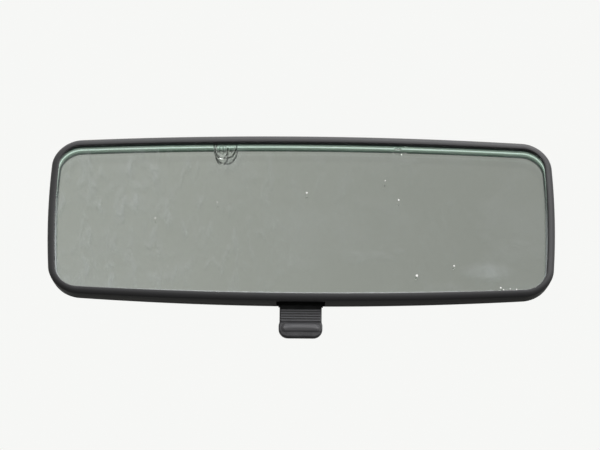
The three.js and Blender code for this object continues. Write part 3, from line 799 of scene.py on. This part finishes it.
def chip_tool(across, up, half_width, half_height, depth):
    """A shallow shell with rings, which leaves a shell-shaped chip at the glass's edge."""
    rings, spokes = 56, 84
    waves = 3.5
    angles = np.arange(spokes) * 2 * math.pi / spokes
    ragged = 1 + 0.05 * np.cos(2 * angles + 0.9) + 0.035 * np.sin(5 * angles) + 0.02 * np.cos(9 * angles)
    loops = []
    for ring in range(1, rings + 1):
        share = ring / rings
        ripple = 0.2 * depth * max(0, math.sin(share**1.3 * waves * 2 * math.pi)) ** 3 * (1 - share) ** 0.4
        y = GLASS_FRONT + MM * (depth * (1 - share**7) + ripple)
        x = (across + half_width * share * ragged * np.cos(angles)) * MM
        z = (up + half_height * share * ragged * np.sin(angles)) * MM
        loops.append(np.column_stack((x, np.full(spokes, y), z)))
    clear_of_glass = loops[-1].copy()
    clear_of_glass[:, 1] -= 2 * MM
    loops.append(clear_of_glass)
    return loft("chip", loops, "chipped_glass")


def glass_outline(inset):
    """The glass rests on the lip's lower side, so it leaves a gap along the top."""
    points = outline(inset)
    points[:, 1] -= TOP_GAP * np.clip(points[:, 1] / GLASS_HALF_HEIGHT, 0, 1) ** 2
    return points


def make_glass():
    """The wedge: clear front, silvered back and ground edges, with chips at the top edge."""
    chamfer = 0.2 * MM
    inner, edge = glass_outline(GLASS_INSET + chamfer), glass_outline(GLASS_INSET)
    glass = loft("prism_glass_blank", [
        with_depth(inner, GLASS_FRONT),
        with_depth(edge, GLASS_FRONT + chamfer),
        with_depth(edge, behind_glass(-chamfer)),
        with_depth(inner, behind_glass(0)),
    ], "prism_glass", "silver_coat", "ground_edge", "chipped_glass")
    silvered, ground = 1, 2
    faces_back = 0.9
    for face in glass.data.polygons:
        if face.normal.y > faces_back:
            face.material_index = silvered
        elif face.normal.y > -faces_back:
            face.material_index = ground
    for chip in CHIPS:
        combine(glass, "DIFFERENCE", chip_tool(*chip))
    smooth_below(glass, 12)
    glass.name = "mirror_prism"
    show(glass, "head", "mirror_glass", "mirror_glass")


def make_backing():
    inset = GLASS_INSET + 0.6 * MM
    gap, thickness = 0.1 * MM, 0.3 * MM
    film = loft("safety_film", [
        with_depth(outline(inset), behind_glass(gap)),
        with_depth(outline(inset), behind_glass(gap + thickness)),
    ], "backing_film")
    show(smooth_below(film, 30), "head", "film_grey", "glass_backing")


def make_foam_pads():
    for side in ("left", "right"):
        node = f"foam_pad_{side}"
        pad = refine_copy(node, f"foam_strip_{side}", "black_foam", bevel=0.7 * MM)
        show(pad, "head", "foam_black", node)


# --- bezel and housing

# (inset, depth) in mm: up the outside of the skirt and over the lip
LIP_CURVE = [
    (0.5, 12), (0.15, 7), (0.02, 2.4), (0.14, 1.66), (0.55, 0.99), (1.2, 0.46),
    (2, 0.12), (2.8, 0.01), (3.25, 0.12), (3.5, 0.6),
]
LIP_UNDERSIDE = [(3.5, 1.9), (1.9, 1.9), (1.95, 12)]
NOTCH_FRONT = 3.6 * MM
SLOT_HALF = 11.5 * MM


def lever_slot(front):
    low = HEAD + Vector((-SLOT_HALF, front, -HALF_HEIGHT - 6 * MM))
    high = HEAD + Vector((SLOT_HALF, 19 * MM, -34.8 * MM))
    return rounded_block("lever_slot", low, high, 0.5 * MM, "charcoal_plastic")


def make_bezel():
    rows = np.vstack((refined(LIP_CURVE, 4), LIP_UNDERSIDE)) * MM
    rows = np.maximum(rows, 0)
    loops = [with_depth(outline(inset), depth) for inset, depth in rows]
    bezel = loft("bezel_lip", loops, "charcoal_plastic", ring=True)
    combine(bezel, "DIFFERENCE", lever_slot(NOTCH_FRONT))
    show(smooth_below(bezel, 32), "head", "charcoal_plastic", "front_bezel")


# (depth, inset, corner radius) in mm, from the parting line towards the middle of the back
OUTER_ROWS = [
    (12.6, 0.5, 12.5), (17, 1, 12.5), (21, 2.4, 12.8), (25, 6, 13.5), (28, 13, 14), (29.5, 22, 12.5),
]
INNER_ROWS = [
    (12.3, 3.9, 9.1), (16.8, 3.3, 10), (20, 4.8, 11), (23.4, 8.2, 12), (26, 14.4, 12.5), (27.4, 22.8, 11.5),
]
OPENING = np.array((22.2, 18.2, 13)) * MM  # half width, half height, corner radius
EDGE_ROUND = 0.7 * MM
TAPER_POWER = 2.2
BACK_STEPS = 8

WALL_RIBS = (-86 * MM, -68 * MM, 68 * MM, 86 * MM)
RIB_HALF_WIDTH = 0.9 * MM
RIB_HALF_HEIGHT = 24 * MM
BOSS_DEPTH = 20.5 * MM
BOSS_RADIUS = 4 * MM
BOSS_LENGTH = 6.4 * MM
BOSS_CHAMFER = 0.3 * MM
BORE_RADIUS = 1.8 * MM
BORE_LENGTH = 5 * MM
CARRIER_SCREWS = [f"carrier_screw_{number}" for number in range(1, 5)]


def tapered(depth):
    """Depth of the back at each x: fullest in the middle."""
    grown = depth - RIM_DEPTH
    return lambda x, z: RIM_DEPTH + grown * (1 - END_TAPER * np.abs(x / HALF_WIDTH) ** TAPER_POWER)


def shell_loops(rows):
    return [
        with_depth(outline(inset * MM, radius * MM), tapered(depth * MM))
        for depth, inset, radius in refined(rows, 5)
    ]


def towards_opening(row):
    """Loops from the last row of the shell to the opening's edge, on the crowned back."""
    depth, inset, radius = row
    start = outline(inset * MM, radius * MM)
    end = rounded_rectangle(*(OPENING + EDGE_ROUND))
    shares = 1 - (1 - np.arange(1, BACK_STEPS + 1) / BACK_STEPS) ** 1.5  # closer at the opening
    return [with_depth(start + (end - start) * share, tapered(depth * MM)) for share in shares]


def opening_edge(outer_depth, inner_depth):
    """Rounds the wall over at the opening, from the outside to the inside."""
    loops = []
    for start, depth, sign in ((0, outer_depth, -1), (90, inner_depth, 1)):
        for angle in np.radians(np.arange(start + 15, start + 90, 15)):
            grow = EDGE_ROUND * (1 - math.sin(angle if sign < 0 else math.pi - angle))
            sink = EDGE_ROUND * (1 - abs(math.cos(angle)))
            points = rounded_rectangle(*(OPENING + grow))
            loops.append(with_depth(points, tapered(depth + sign * sink)))
    return loops


def make_housing():
    """One closed loft: tongue in the bezel, outside, opening's edge and inside, with ribs and bosses."""
    tongue = 2.2 * MM
    press = behind_glass(0.8 * MM)
    outer_end, inner_end = OUTER_ROWS[-1], INNER_ROWS[-1]
    inner = [*shell_loops(INNER_ROWS), *towards_opening(inner_end)]
    loops = [
        with_depth(outline(tongue), press),
        with_depth(outline(tongue), RIM_DEPTH),
        with_depth(outline(0.8 * MM, 12.2 * MM), RIM_DEPTH),
        *shell_loops(OUTER_ROWS),
        *towards_opening(outer_end),
        *opening_edge(outer_end[0] * MM, inner_end[0] * MM),
        *reversed(inner),
        with_depth(outline(3.9 * MM), press),
    ]
    housing = loft("housing_shell", loops, "charcoal_plastic", ring=True)
    combine(housing, "DIFFERENCE", lever_slot(2 * MM))
    rib_front = glass_back(RIB_HALF_HEIGHT) + 4.1 * MM
    for x in WALL_RIBS:
        low = HEAD + Vector((x - RIB_HALF_WIDTH, rib_front, -RIB_HALF_HEIGHT))
        high = HEAD + Vector((x + RIB_HALF_WIDTH, 21.8 * MM, RIB_HALF_HEIGHT))
        combine(housing, "UNION", rounded_block("rib", low, high, 0.3 * MM, "charcoal_plastic"))
    boss = [
        (0, 0), (BOSS_RADIUS - BOSS_CHAMFER, 0), (BOSS_RADIUS, BOSS_CHAMFER),
        (BOSS_RADIUS, BOSS_LENGTH), (0, BOSS_LENGTH),
    ]
    bore = [(0, -MM), (BORE_RADIUS, -MM), (BORE_RADIUS, BORE_LENGTH), (0, BORE_LENGTH)]
    for node in CARRIER_SCREWS:
        low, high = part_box(node)
        foot = (low + high) / 2
        foot.y = HEAD.y + BOSS_DEPTH
        combine(housing, "UNION", turned("boss", boss, "charcoal_plastic", foot, segments=32))
        combine(housing, "DIFFERENCE", turned("bore", bore, "charcoal_plastic", foot, segments=24))
    show(smooth_below(housing, 32), "head", "charcoal_plastic", "rear_housing")


# --- dipping lever

TAB_HALF = 10.35 * MM
TAB_TOP = HEAD.z - 40.2 * MM
TAB_BOTTOM = lever_low.z + 0.05 * MM
TAB_CORNER = 4.4 * MM
TAB_EDGE = 0.8 * MM
LIP_HALF = 9 * MM
LIP_BEND = 0.9 * MM
WAIST = 0.4 * MM
RIB_PITCH = 1.22 * MM
RIB_COUNT = 5
FIRST_RIB = HEAD.z - 43.13 * MM
RIB_LENGTH = 18.8 * MM
RIB_RADIUS = 0.42 * MM
RIB_STANDS_OUT = 0.55 * MM

# (height in the head's frame, how far the front stands out), both in mm
TAB_STEPS = [
    (-40, -1.2), (-42.25, -1.2), (-42.4, 0.3), (-42.6, 0.45), (-48.1, 0.45), (-48.4, 0.35), (-48.7, 0.3),
    (-49.0, 0.5), (-49.4, 0.6), (-52.8, 0.55), (-53.8, 0.3), (-55.2, 0.3), (-56.4, 0.1),
]
LIP_SWELL = [
    (-48.8, 0), (-49.2, 0.35), (-49.8, 0.78), (-50.6, 1.12), (-51.3, 1.26), (-51.9, 1.12), (-52.6, 0.62),
    (-53.2, 0.16), (-53.7, 0),
]
RIM_SWELL = [(-53.6, 0), (-54.2, 0.09), (-54.7, 0.13), (-55.3, 0.08), (-55.8, 0)]


def box_distance(x, z, half_x, low, high, radius):
    """Distance inside (negative) or outside a rounded rectangle."""
    across = np.abs(x) - (half_x - radius)
    up = np.abs(z - (low + high) / 2) - ((high - low) / 2 - radius)
    outside = np.hypot(np.maximum(across, 0), np.maximum(up, 0))
    return outside + np.minimum(np.maximum(across, up), 0) - radius


def ease(value, low, high):
    share = np.clip((value - low) / (high - low), 0, 1)
    return share * share * (3 - 2 * share)


def swell(rows, z):
    """Smooth curve through (height, relief) rows, read at the heights z."""
    curve = refined(rows, 8)[::-1]
    return np.interp(z / MM, curve[:, 0], curve[:, 1]) * MM


def tab_relief(x, z):
    """How far the tab's front stands out at each point: recessed neck, pad, groove, lip and rim."""
    up = z - HEAD.z
    low, high = HEAD.z - 53.9 * MM, HEAD.z - 49.2 * MM
    lip = ease(-box_distance(x, z, LIP_HALF, low, high, 2.3 * MM), -0.1 * MM, 1.1 * MM)
    bend = LIP_BEND * np.clip(np.abs(x) / LIP_HALF, 0, 1) ** 4
    steps = np.interp(up / MM, *zip(*sorted(TAB_STEPS))) * MM
    rim = 1 - ease(np.abs(x), 8.6 * MM, 10 * MM)
    return steps + swell(LIP_SWELL, up + bend) * lip + swell(RIM_SWELL, up) * rim


def make_tab():
    """The finger tab as a closed skin over a grid that follows its rounded outline."""
    columns, rows = 120, 190
    heights = TAB_TOP + (TAB_BOTTOM - TAB_TOP) * np.linspace(0, 1, rows)
    above_corner = np.clip(TAB_BOTTOM + TAB_CORNER - heights, 0, TAB_CORNER)
    wide = TAB_HALF - WAIST * ease(heights, HEAD.z - 50.5 * MM, HEAD.z - 48.5 * MM)
    half = wide - TAB_CORNER + np.sqrt(TAB_CORNER**2 - above_corner**2)
    half[-1] = wide[-1] - TAB_CORNER
    across = np.sin(np.linspace(-1, 1, columns) * math.pi / 2)
    x = half[:, None] * across[None, :]
    z = np.repeat(heights[:, None], columns, axis=1)
    squared = x * (TAB_HALF / wide)[:, None]
    inside = -box_distance(squared, z, TAB_HALF, TAB_BOTTOM, TAB_TOP + 20 * MM, TAB_CORNER)
    edge = np.clip(inside, 0, TAB_EDGE)
    roll = TAB_EDGE - np.sqrt(np.maximum(TAB_EDGE**2 - (TAB_EDGE - edge) ** 2, 0))
    front = TAB_FRONT - tab_relief(x, z) + roll
    back = TAB_BACK - roll * 0.6
    skin = np.stack((x, front, z), axis=2).reshape(-1, 3)
    rear = np.stack((x, back, z), axis=2).reshape(-1, 3)
    shift = rows * columns
    faces = []
    for row in range(rows - 1):
        for column in range(columns - 1):
            a = row * columns + column
            quad = (a, a + 1, a + columns + 1, a + columns)
            faces += [quad, tuple(corner + shift for corner in quad)]
    rim = list(range(columns))
    rim += [row * columns + columns - 1 for row in range(1, rows)]
    rim += [(rows - 1) * columns + column for column in range(columns - 2, -1, -1)]
    rim += [row * columns for row in range(rows - 2, 0, -1)]
    for start, end in zip(rim, rim[1:] + rim[:1]):
        faces.append((start, end, end + shift, start + shift))
    mesh = bpy.data.meshes.new("tab")
    mesh.from_pydata([tuple(point) for point in np.vstack((skin, rear))], [], faces)
    face_outwards(mesh)
    return new_object("tab", mesh, "lever_plastic")


def make_lever():
    """Hub and crank from the CAD piece, cut above the tab, joined to the shaped tab."""
    lever = refine_copy("dipping_lever", "lever_and_tab", "lever_plastic")
    low = (-50 * MM, lever_low.y - 20 * MM, TAB_BOTTOM - 20 * MM)
    high = (50 * MM, lever_high.y + 20 * MM, TAB_TOP - 0.6 * MM)
    below = rounded_block("below", low, high, 0.001 * MM, "lever_plastic", segments=1)
    combine(lever, "DIFFERENCE", below)
    combine(lever, "UNION", make_tab())
    show(smooth_below(lever, 34), "lever", "charcoal_plastic", "dipping_lever")

    top = Vector((0, TAB_FRONT - RIB_STANDS_OUT, FIRST_RIB))
    tree = ribs_tree(RIB_COUNT, RIB_PITCH, RIB_LENGTH, RIB_RADIUS, "lever_plastic")
    show(tree.grow("finger_ribs", [top]), "lever", "charcoal_plastic")


# --- fasteners and springs

SCREW_RADIUS = 1.5 * MM
SCREW_PITCH = 0.7 * MM
THREAD_ROOT = 0.82  # share of the thread's radius
CROSS_HALF_LONG = 0.55  # shares of the head's radius
CROSS_HALF_WIDE = 0.15


def screw_piece(head_radius, head_height, length):
    """A pan-head screw along +Y with its head's seat at the origin, and a cross recess."""
    root = SCREW_RADIUS * THREAD_ROOT
    bulge = [
        (head_radius * math.sin(angle), -head_height * (0.35 + 0.65 * math.cos(angle)))
        for angle in np.radians([8, 20, 34, 48, 62, 76, 90])
    ]
    thread = []
    for turn in range(int((length - 2 * SCREW_RADIUS) / SCREW_PITCH)):
        start = 0.6 * MM + turn * SCREW_PITCH
        crest = (SCREW_RADIUS, start + SCREW_PITCH / 2)
        thread += [(root, start), crest, (root, start + SCREW_PITCH)]
    tip_start = length - 1.2 * SCREW_RADIUS
    tip = [(SCREW_RADIUS * 0.8, tip_start), (SCREW_RADIUS * 0.3, length), (0, length)]
    profile = [(0, -head_height), *bulge, (head_radius, 0), (root, 0), *thread, *tip]
    screw = turned("screw_source", profile, "zinc_plate", Vector(), segments=40)
    for wide, tall in ((CROSS_HALF_LONG, CROSS_HALF_WIDE), (CROSS_HALF_WIDE, CROSS_HALF_LONG)):
        low = (-head_radius * wide, -head_height - MM, -head_radius * tall)
        high = (head_radius * wide, -head_height * 0.4, head_radius * tall)
        combine(screw, "DIFFERENCE", rounded_block("recess", low, high, 0.05 * MM, "zinc_plate", 1))
    return smooth_below(screw, 35)


def screw_row(name, body, nodes, sizes, from_behind=False):
    """Copies of one screw with their heads where the CAD screws have theirs."""
    screw = screw_piece(**sizes)
    head_height = sizes["head_height"]
    seats = []
    for node in nodes:
        low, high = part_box(node)
        seat = (low + high) / 2
        seat.y = high.y - head_height if from_behind else low.y + head_height
        seats.append(seat)
    if from_behind:
        screw.data.transform(Matrix.Rotation(math.pi, 4, "Z"))
    show(instances_tree(screw, "zinc_plate").grow(name, seats), body, "zinc_plated", *nodes)
    bpy.data.objects.remove(screw)


def make_screws():
    carrier = {"head_radius": 2.9 * MM, "head_height": 2 * MM, "length": 5 * MM}
    screw_row("carrier_screws", "head", CARRIER_SCREWS, carrier)
    clamp = {"head_radius": 3 * MM, "head_height": 1.8 * MM, "length": 13.4 * MM}
    nodes = ["clamp_screw_left", "clamp_screw_right"]
    screw_row("clamp_screws", "bracket", nodes, clamp, from_behind=True)


def coil_row(name, body, nodes, wire, turns, along, centre=None):
    """Coils of this wire radius that fill the CAD springs' boxes, along X or Y."""
    beside = 2 if along == 0 else 0
    turn_by = (0, math.pi / 2, 0) if along == 0 else (-math.pi / 2, 0, 0)
    low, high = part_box(nodes[0])
    radius = (high[beside] - low[beside]) / 2 - wire
    length = high[along] - low[along] - 2 * wire
    starts = []
    for node in nodes:
        low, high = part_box(node)
        start = (low + high) / 2 if centre is None else centre.copy()
        start[along] = low[along] + wire
        starts.append(start)
    tree = coil_tree(turns, radius, wire, length, turn_by, "spring_steel")
    show(tree.grow(name, starts), body, "spring_steel", *nodes)


def make_springs():
    nodes = ["clamp_spring_left", "clamp_spring_right"]
    coil_row("clamp_springs", "bracket", nodes, 0.42 * MM, 2.5, along=1)
    nodes = ["detent_spring"]
    coil_row("over_centre_spring", "head", nodes, 0.36 * MM, 3.6, along=0, centre=LEVER_AXIS)


# --- ball joint, arm and foot

BALL_RADIUS = 7.45 * MM
NECK_RADIUS = 3.5 * MM
THREAD_RADIUS = 3.9 * MM
ARM_RADIUS = 7 * MM
ARM_WAIST = 0.14  # how much thinner the arm is halfway
SEAM_HEIGHT = 0.012  # shares of the arm's radius
SEAM_WIDTH = 0.05


def make_ball_stud():
    """Ball, waisted neck and threaded shank."""
    nut_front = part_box("stud_lock_nut")[0].y
    stud_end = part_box("ball_stud")[1].y
    neck_start = math.asin(NECK_RADIUS / BALL_RADIUS) + 0.12
    sphere = [
        (BALL_RADIUS * math.sin(angle), BALL_RADIUS * math.cos(angle))
        for angle in np.linspace(math.pi, neck_start, 48)
    ]
    collar = nut_front - BALL.y
    neck = refined([
        sphere[-1],
        (NECK_RADIUS * 1.02, BALL_RADIUS + 0.1 * MM),
        (NECK_RADIUS * 0.96, (BALL_RADIUS + collar) / 2),
        (NECK_RADIUS, collar - 1.8 * MM),
    ], 6)[1:]
    pitch = 0.9 * MM
    end = stud_end - BALL.y - 0.1 * MM
    thread = []
    for turn in range(int((end - collar - MM) / pitch)):
        start = collar - 0.6 * MM + turn * pitch
        thread += [(THREAD_RADIUS * 0.9, start), (THREAD_RADIUS, start + pitch / 2)]
    profile = [*sphere, *map(tuple, neck), *thread, (THREAD_RADIUS * 0.8, end), (0, end)]
    stud = turned("ball_and_stud", profile, "polished_chrome", BALL, segments=96)
    show(smooth_below(stud, 30), "mount", "chromed", "ball_stud")


def arm_route(share):
    """Centre of the arm and its direction, from the nut to the foot."""
    nut_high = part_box("stud_lock_nut")[1]
    behind_foot = 12.3 * MM
    start = Vector((0, nut_high.y + 0.3 * MM, BALL.z))
    end = -INTO_WINDSCREEN * behind_foot
    handles = [start, start + Vector((0, 18 * MM, 0)), end - INTO_WINDSCREEN * 14 * MM, end]
    left = 1 - share
    weights = [left**3, 3 * share * left**2, 3 * share**2 * left, share**3]
    slopes = [-(left**2), left**2 - 2 * share * left, 2 * share * left - share**2, share**2]
    centre = sum((h * w for h, w in zip(handles, weights)), Vector())
    along = sum((h * w for h, w in zip(handles, slopes)), Vector()).normalized()
    return centre, along


def make_arm():
    """Cast arm: waisted, with a parting line and rounded ends."""
    steps, spokes = 60, 72
    side = Vector((1, 0, 0))
    loops = []
    ends = [(0, 0.9), (0.004, 0.95), (0.012, 0.985), (0.024, 1)]  # (share of the length, size)
    near = [share for share, _ in ends]
    shares = [*near, *np.linspace(0.04, 0.96, steps), *(1 - share for share in reversed(near))]
    for share in shares:
        centre, along = arm_route(share)
        up = side.cross(along).normalized()
        waist = 1 - ARM_WAIST * math.sin(math.pi * share) ** 2
        for limit, scale in reversed(ends):
            if share <= limit or 1 - share <= limit:
                waist = scale
        ring = []
        for spoke in range(spokes):
            angle = 2 * math.pi * spoke / spokes
            seam = 1 + SEAM_HEIGHT * math.exp(-((math.sin(angle) / SEAM_WIDTH) ** 2))
            reach = ARM_RADIUS * waist * min(seam, 1 / waist)
            ring.append(centre + side * math.cos(angle) * reach + up * math.sin(angle) * reach)
        loops.append(np.array(ring))
    arm = loft("cast_arm", loops, "powder_coat", origin=Vector())
    start, end = 10 * MM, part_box("ball_stud")[1].y - BALL.y + 0.6 * MM
    radius = THREAD_RADIUS + 0.2 * MM
    bore = [(0, start), (radius, start), (radius, end), (0, end)]
    combine(arm, "DIFFERENCE", turned("bore", bore, "powder_coat", BALL, segments=48))
    show(smooth_below(arm, 34), "mount", "black_paint", "stalk_arm")


def make_mount_pieces():
    plan = [
        ("mounting_foot", "cast_foot", "powder_coat", "black_paint", 0.5),
        ("stud_lock_nut", "hex_lock_nut", "zinc_plate", "zinc_plated", 0.35),
        ("windscreen_button", "bonded_button", "zinc_plate", "zinc_plated", 0.3),
        ("adhesive_pad", "adhesive_film", "cured_adhesive", "adhesive", 0.15),
    ]
    for node, name, material, slot, bevel in plan:
        show(refine_copy(node, name, material, bevel * MM), "mount", slot, node)


# --- CAD pieces that stay

CARRIED = {
    "natural_nylon": ["mechanism_carrier", "rear_ball_seat", "front_ball_seat"],
    "zinc_plate": [
        "flip_pivot_pin", "lever_pivot_pin", "crank_pin", "pivot_bracket", "arm_screw",
        "foot_set_screw",
    ],
    "spring_steel": ["flip_pin_clip", "lever_pin_clip"],
    "black_rubber": ["stop_pad_left", "stop_pad_right"],
    "powder_coat": ["socket_clamp"],
}


def dress_carried_pieces():
    for material, nodes in CARRIED.items():
        for node in nodes:
            for slot in frame["nodes"][node].material_slots:
                slot.material = MATERIALS[material]


# --- studio

VIEW_BELOW = 16.0  # degrees under the glass's normal
VIEW_DISTANCE = 1.1
VIEW_TARGET = HEAD + Vector((-0.64 * MM, 0, -4.08 * MM))
LENS = 139.8
LEAN = 0.48  # degrees
FLOOR_DROP = 1.7
FLOOR_HALF = 12.0

# Each light's (place, (width, height), watts); all of them aim at the head
LIGHTS = {
    "overhead": ((0.3, -0.55, HEAD.z + 1.2), (1.0, 0.5), 10),
    "window": ((0.85, -1.0, HEAD.z + 0.42), (0.8, 0.6), 8),
    "front_fill": ((0, -1.5, HEAD.z - 0.03), (1.8, 0.16), 2.6),
}


def aim(made, towards):
    made.rotation_mode = "QUATERNION"
    made.rotation_quaternion = towards.to_track_quat("-Z", "Y")


def make_floor():
    finish = Finish("pale_floor", Roughness=0.9, Specular_IOR_Level=0.1)
    finish.paint(finish.noise(700, detail=3), (0.85, 0.85, 0.84), (0.87, 0.87, 0.86))
    mesh = bpy.data.meshes.new("floor")
    corners = [(-1, -1), (1, -1), (1, 1), (-1, 1)]
    level = HEAD.z - FLOOR_DROP
    mesh.from_pydata([(x * FLOOR_HALF, y * FLOOR_HALF, level) for x, y in corners], [], [(0, 1, 2, 3)])
    mesh.materials.append(finish.material)
    floor = into_scene("floor", mesh)
    floor.visible_diffuse = False
    floor.visible_glossy = False
    floor.visible_transmission = False


def make_lights():
    for name, (place, size, watts) in LIGHTS.items():
        data = bpy.data.lights.new(name, "AREA")
        data.shape = "RECTANGLE"
        data.size, data.size_y = size
        data.energy = watts
        light = into_scene(name, data)
        light.location = place
        light.visible_camera = False
        aim(light, HEAD - Vector(place))


def make_world():
    """A plain pale backdrop; its light comes from above and the right, with a dim room in front."""
    world = bpy.data.worlds.new("pale_room")
    world.use_nodes = True
    graph = Graph(world.node_tree)
    world.node_tree.nodes.clear()
    across, back, up = graph.axes(graph.node("ShaderNodeTexCoord").outputs["Generated"])
    room = 0.425 - across.smooth(-0.17, 0.13) * 0.11 + across.smooth(0.1, 0.17) * 0.02
    room = room + up.smooth(0.42, 0.52) * 0.02
    sky = up.smooth(0.5, 0.82)
    right = across.smooth(0.4, 0.8) * up.smooth(-0.1, 0.3)
    behind = back.smooth(0.1, 0.7) * up.smooth(-0.02, 0.2)
    above_ground = up.smooth(-0.28, 0.02)
    strength = (room + sky * 0.8 + right * 0.42 + behind * 0.4) * (0.3 + above_ground * 0.7)
    tint = graph.mix(sky.larger(behind), (1.0, 1.006, 0.955), (1.0, 1.0, 1.0))
    light = graph.node("ShaderNodeBackground", {"Color": tint, "Strength": strength}).outputs[0]
    inputs = {"Color": (0.925, 0.93, 0.915, 1), "Strength": 1.0}
    backdrop = graph.node("ShaderNodeBackground", inputs).outputs[0]
    seen = graph.node("ShaderNodeLightPath").outputs["Is Camera Ray"]
    mixed = graph.mix_shaders(seen, light, backdrop)
    graph.node("ShaderNodeOutputWorld", {"Surface": mixed})
    bpy.context.scene.world = world
    bpy.context.scene.view_settings.view_transform = "Standard"


def make_camera():
    data = bpy.data.cameras.new("camera")
    data.lens = LENS
    camera = into_scene("camera", data)
    tilt = math.radians(VIEW_BELOW)
    towards = Vector((0, math.cos(tilt), math.sin(tilt)))
    camera.location = VIEW_TARGET - towards * VIEW_DISTANCE
    aim(camera, towards)
    camera.rotation_quaternion @= Quaternion((0, 0, 1), math.radians(LEAN))
    bpy.context.scene.camera = camera


# --- build

BUILD = [
    make_glass, make_backing, make_foam_pads, make_bezel, make_housing, make_lever, make_screws,
    make_springs, make_ball_stud, make_arm, make_mount_pieces, dress_carried_pieces, make_floor,
    make_world, make_lights, make_camera,
]
for make in BUILD:
    make()
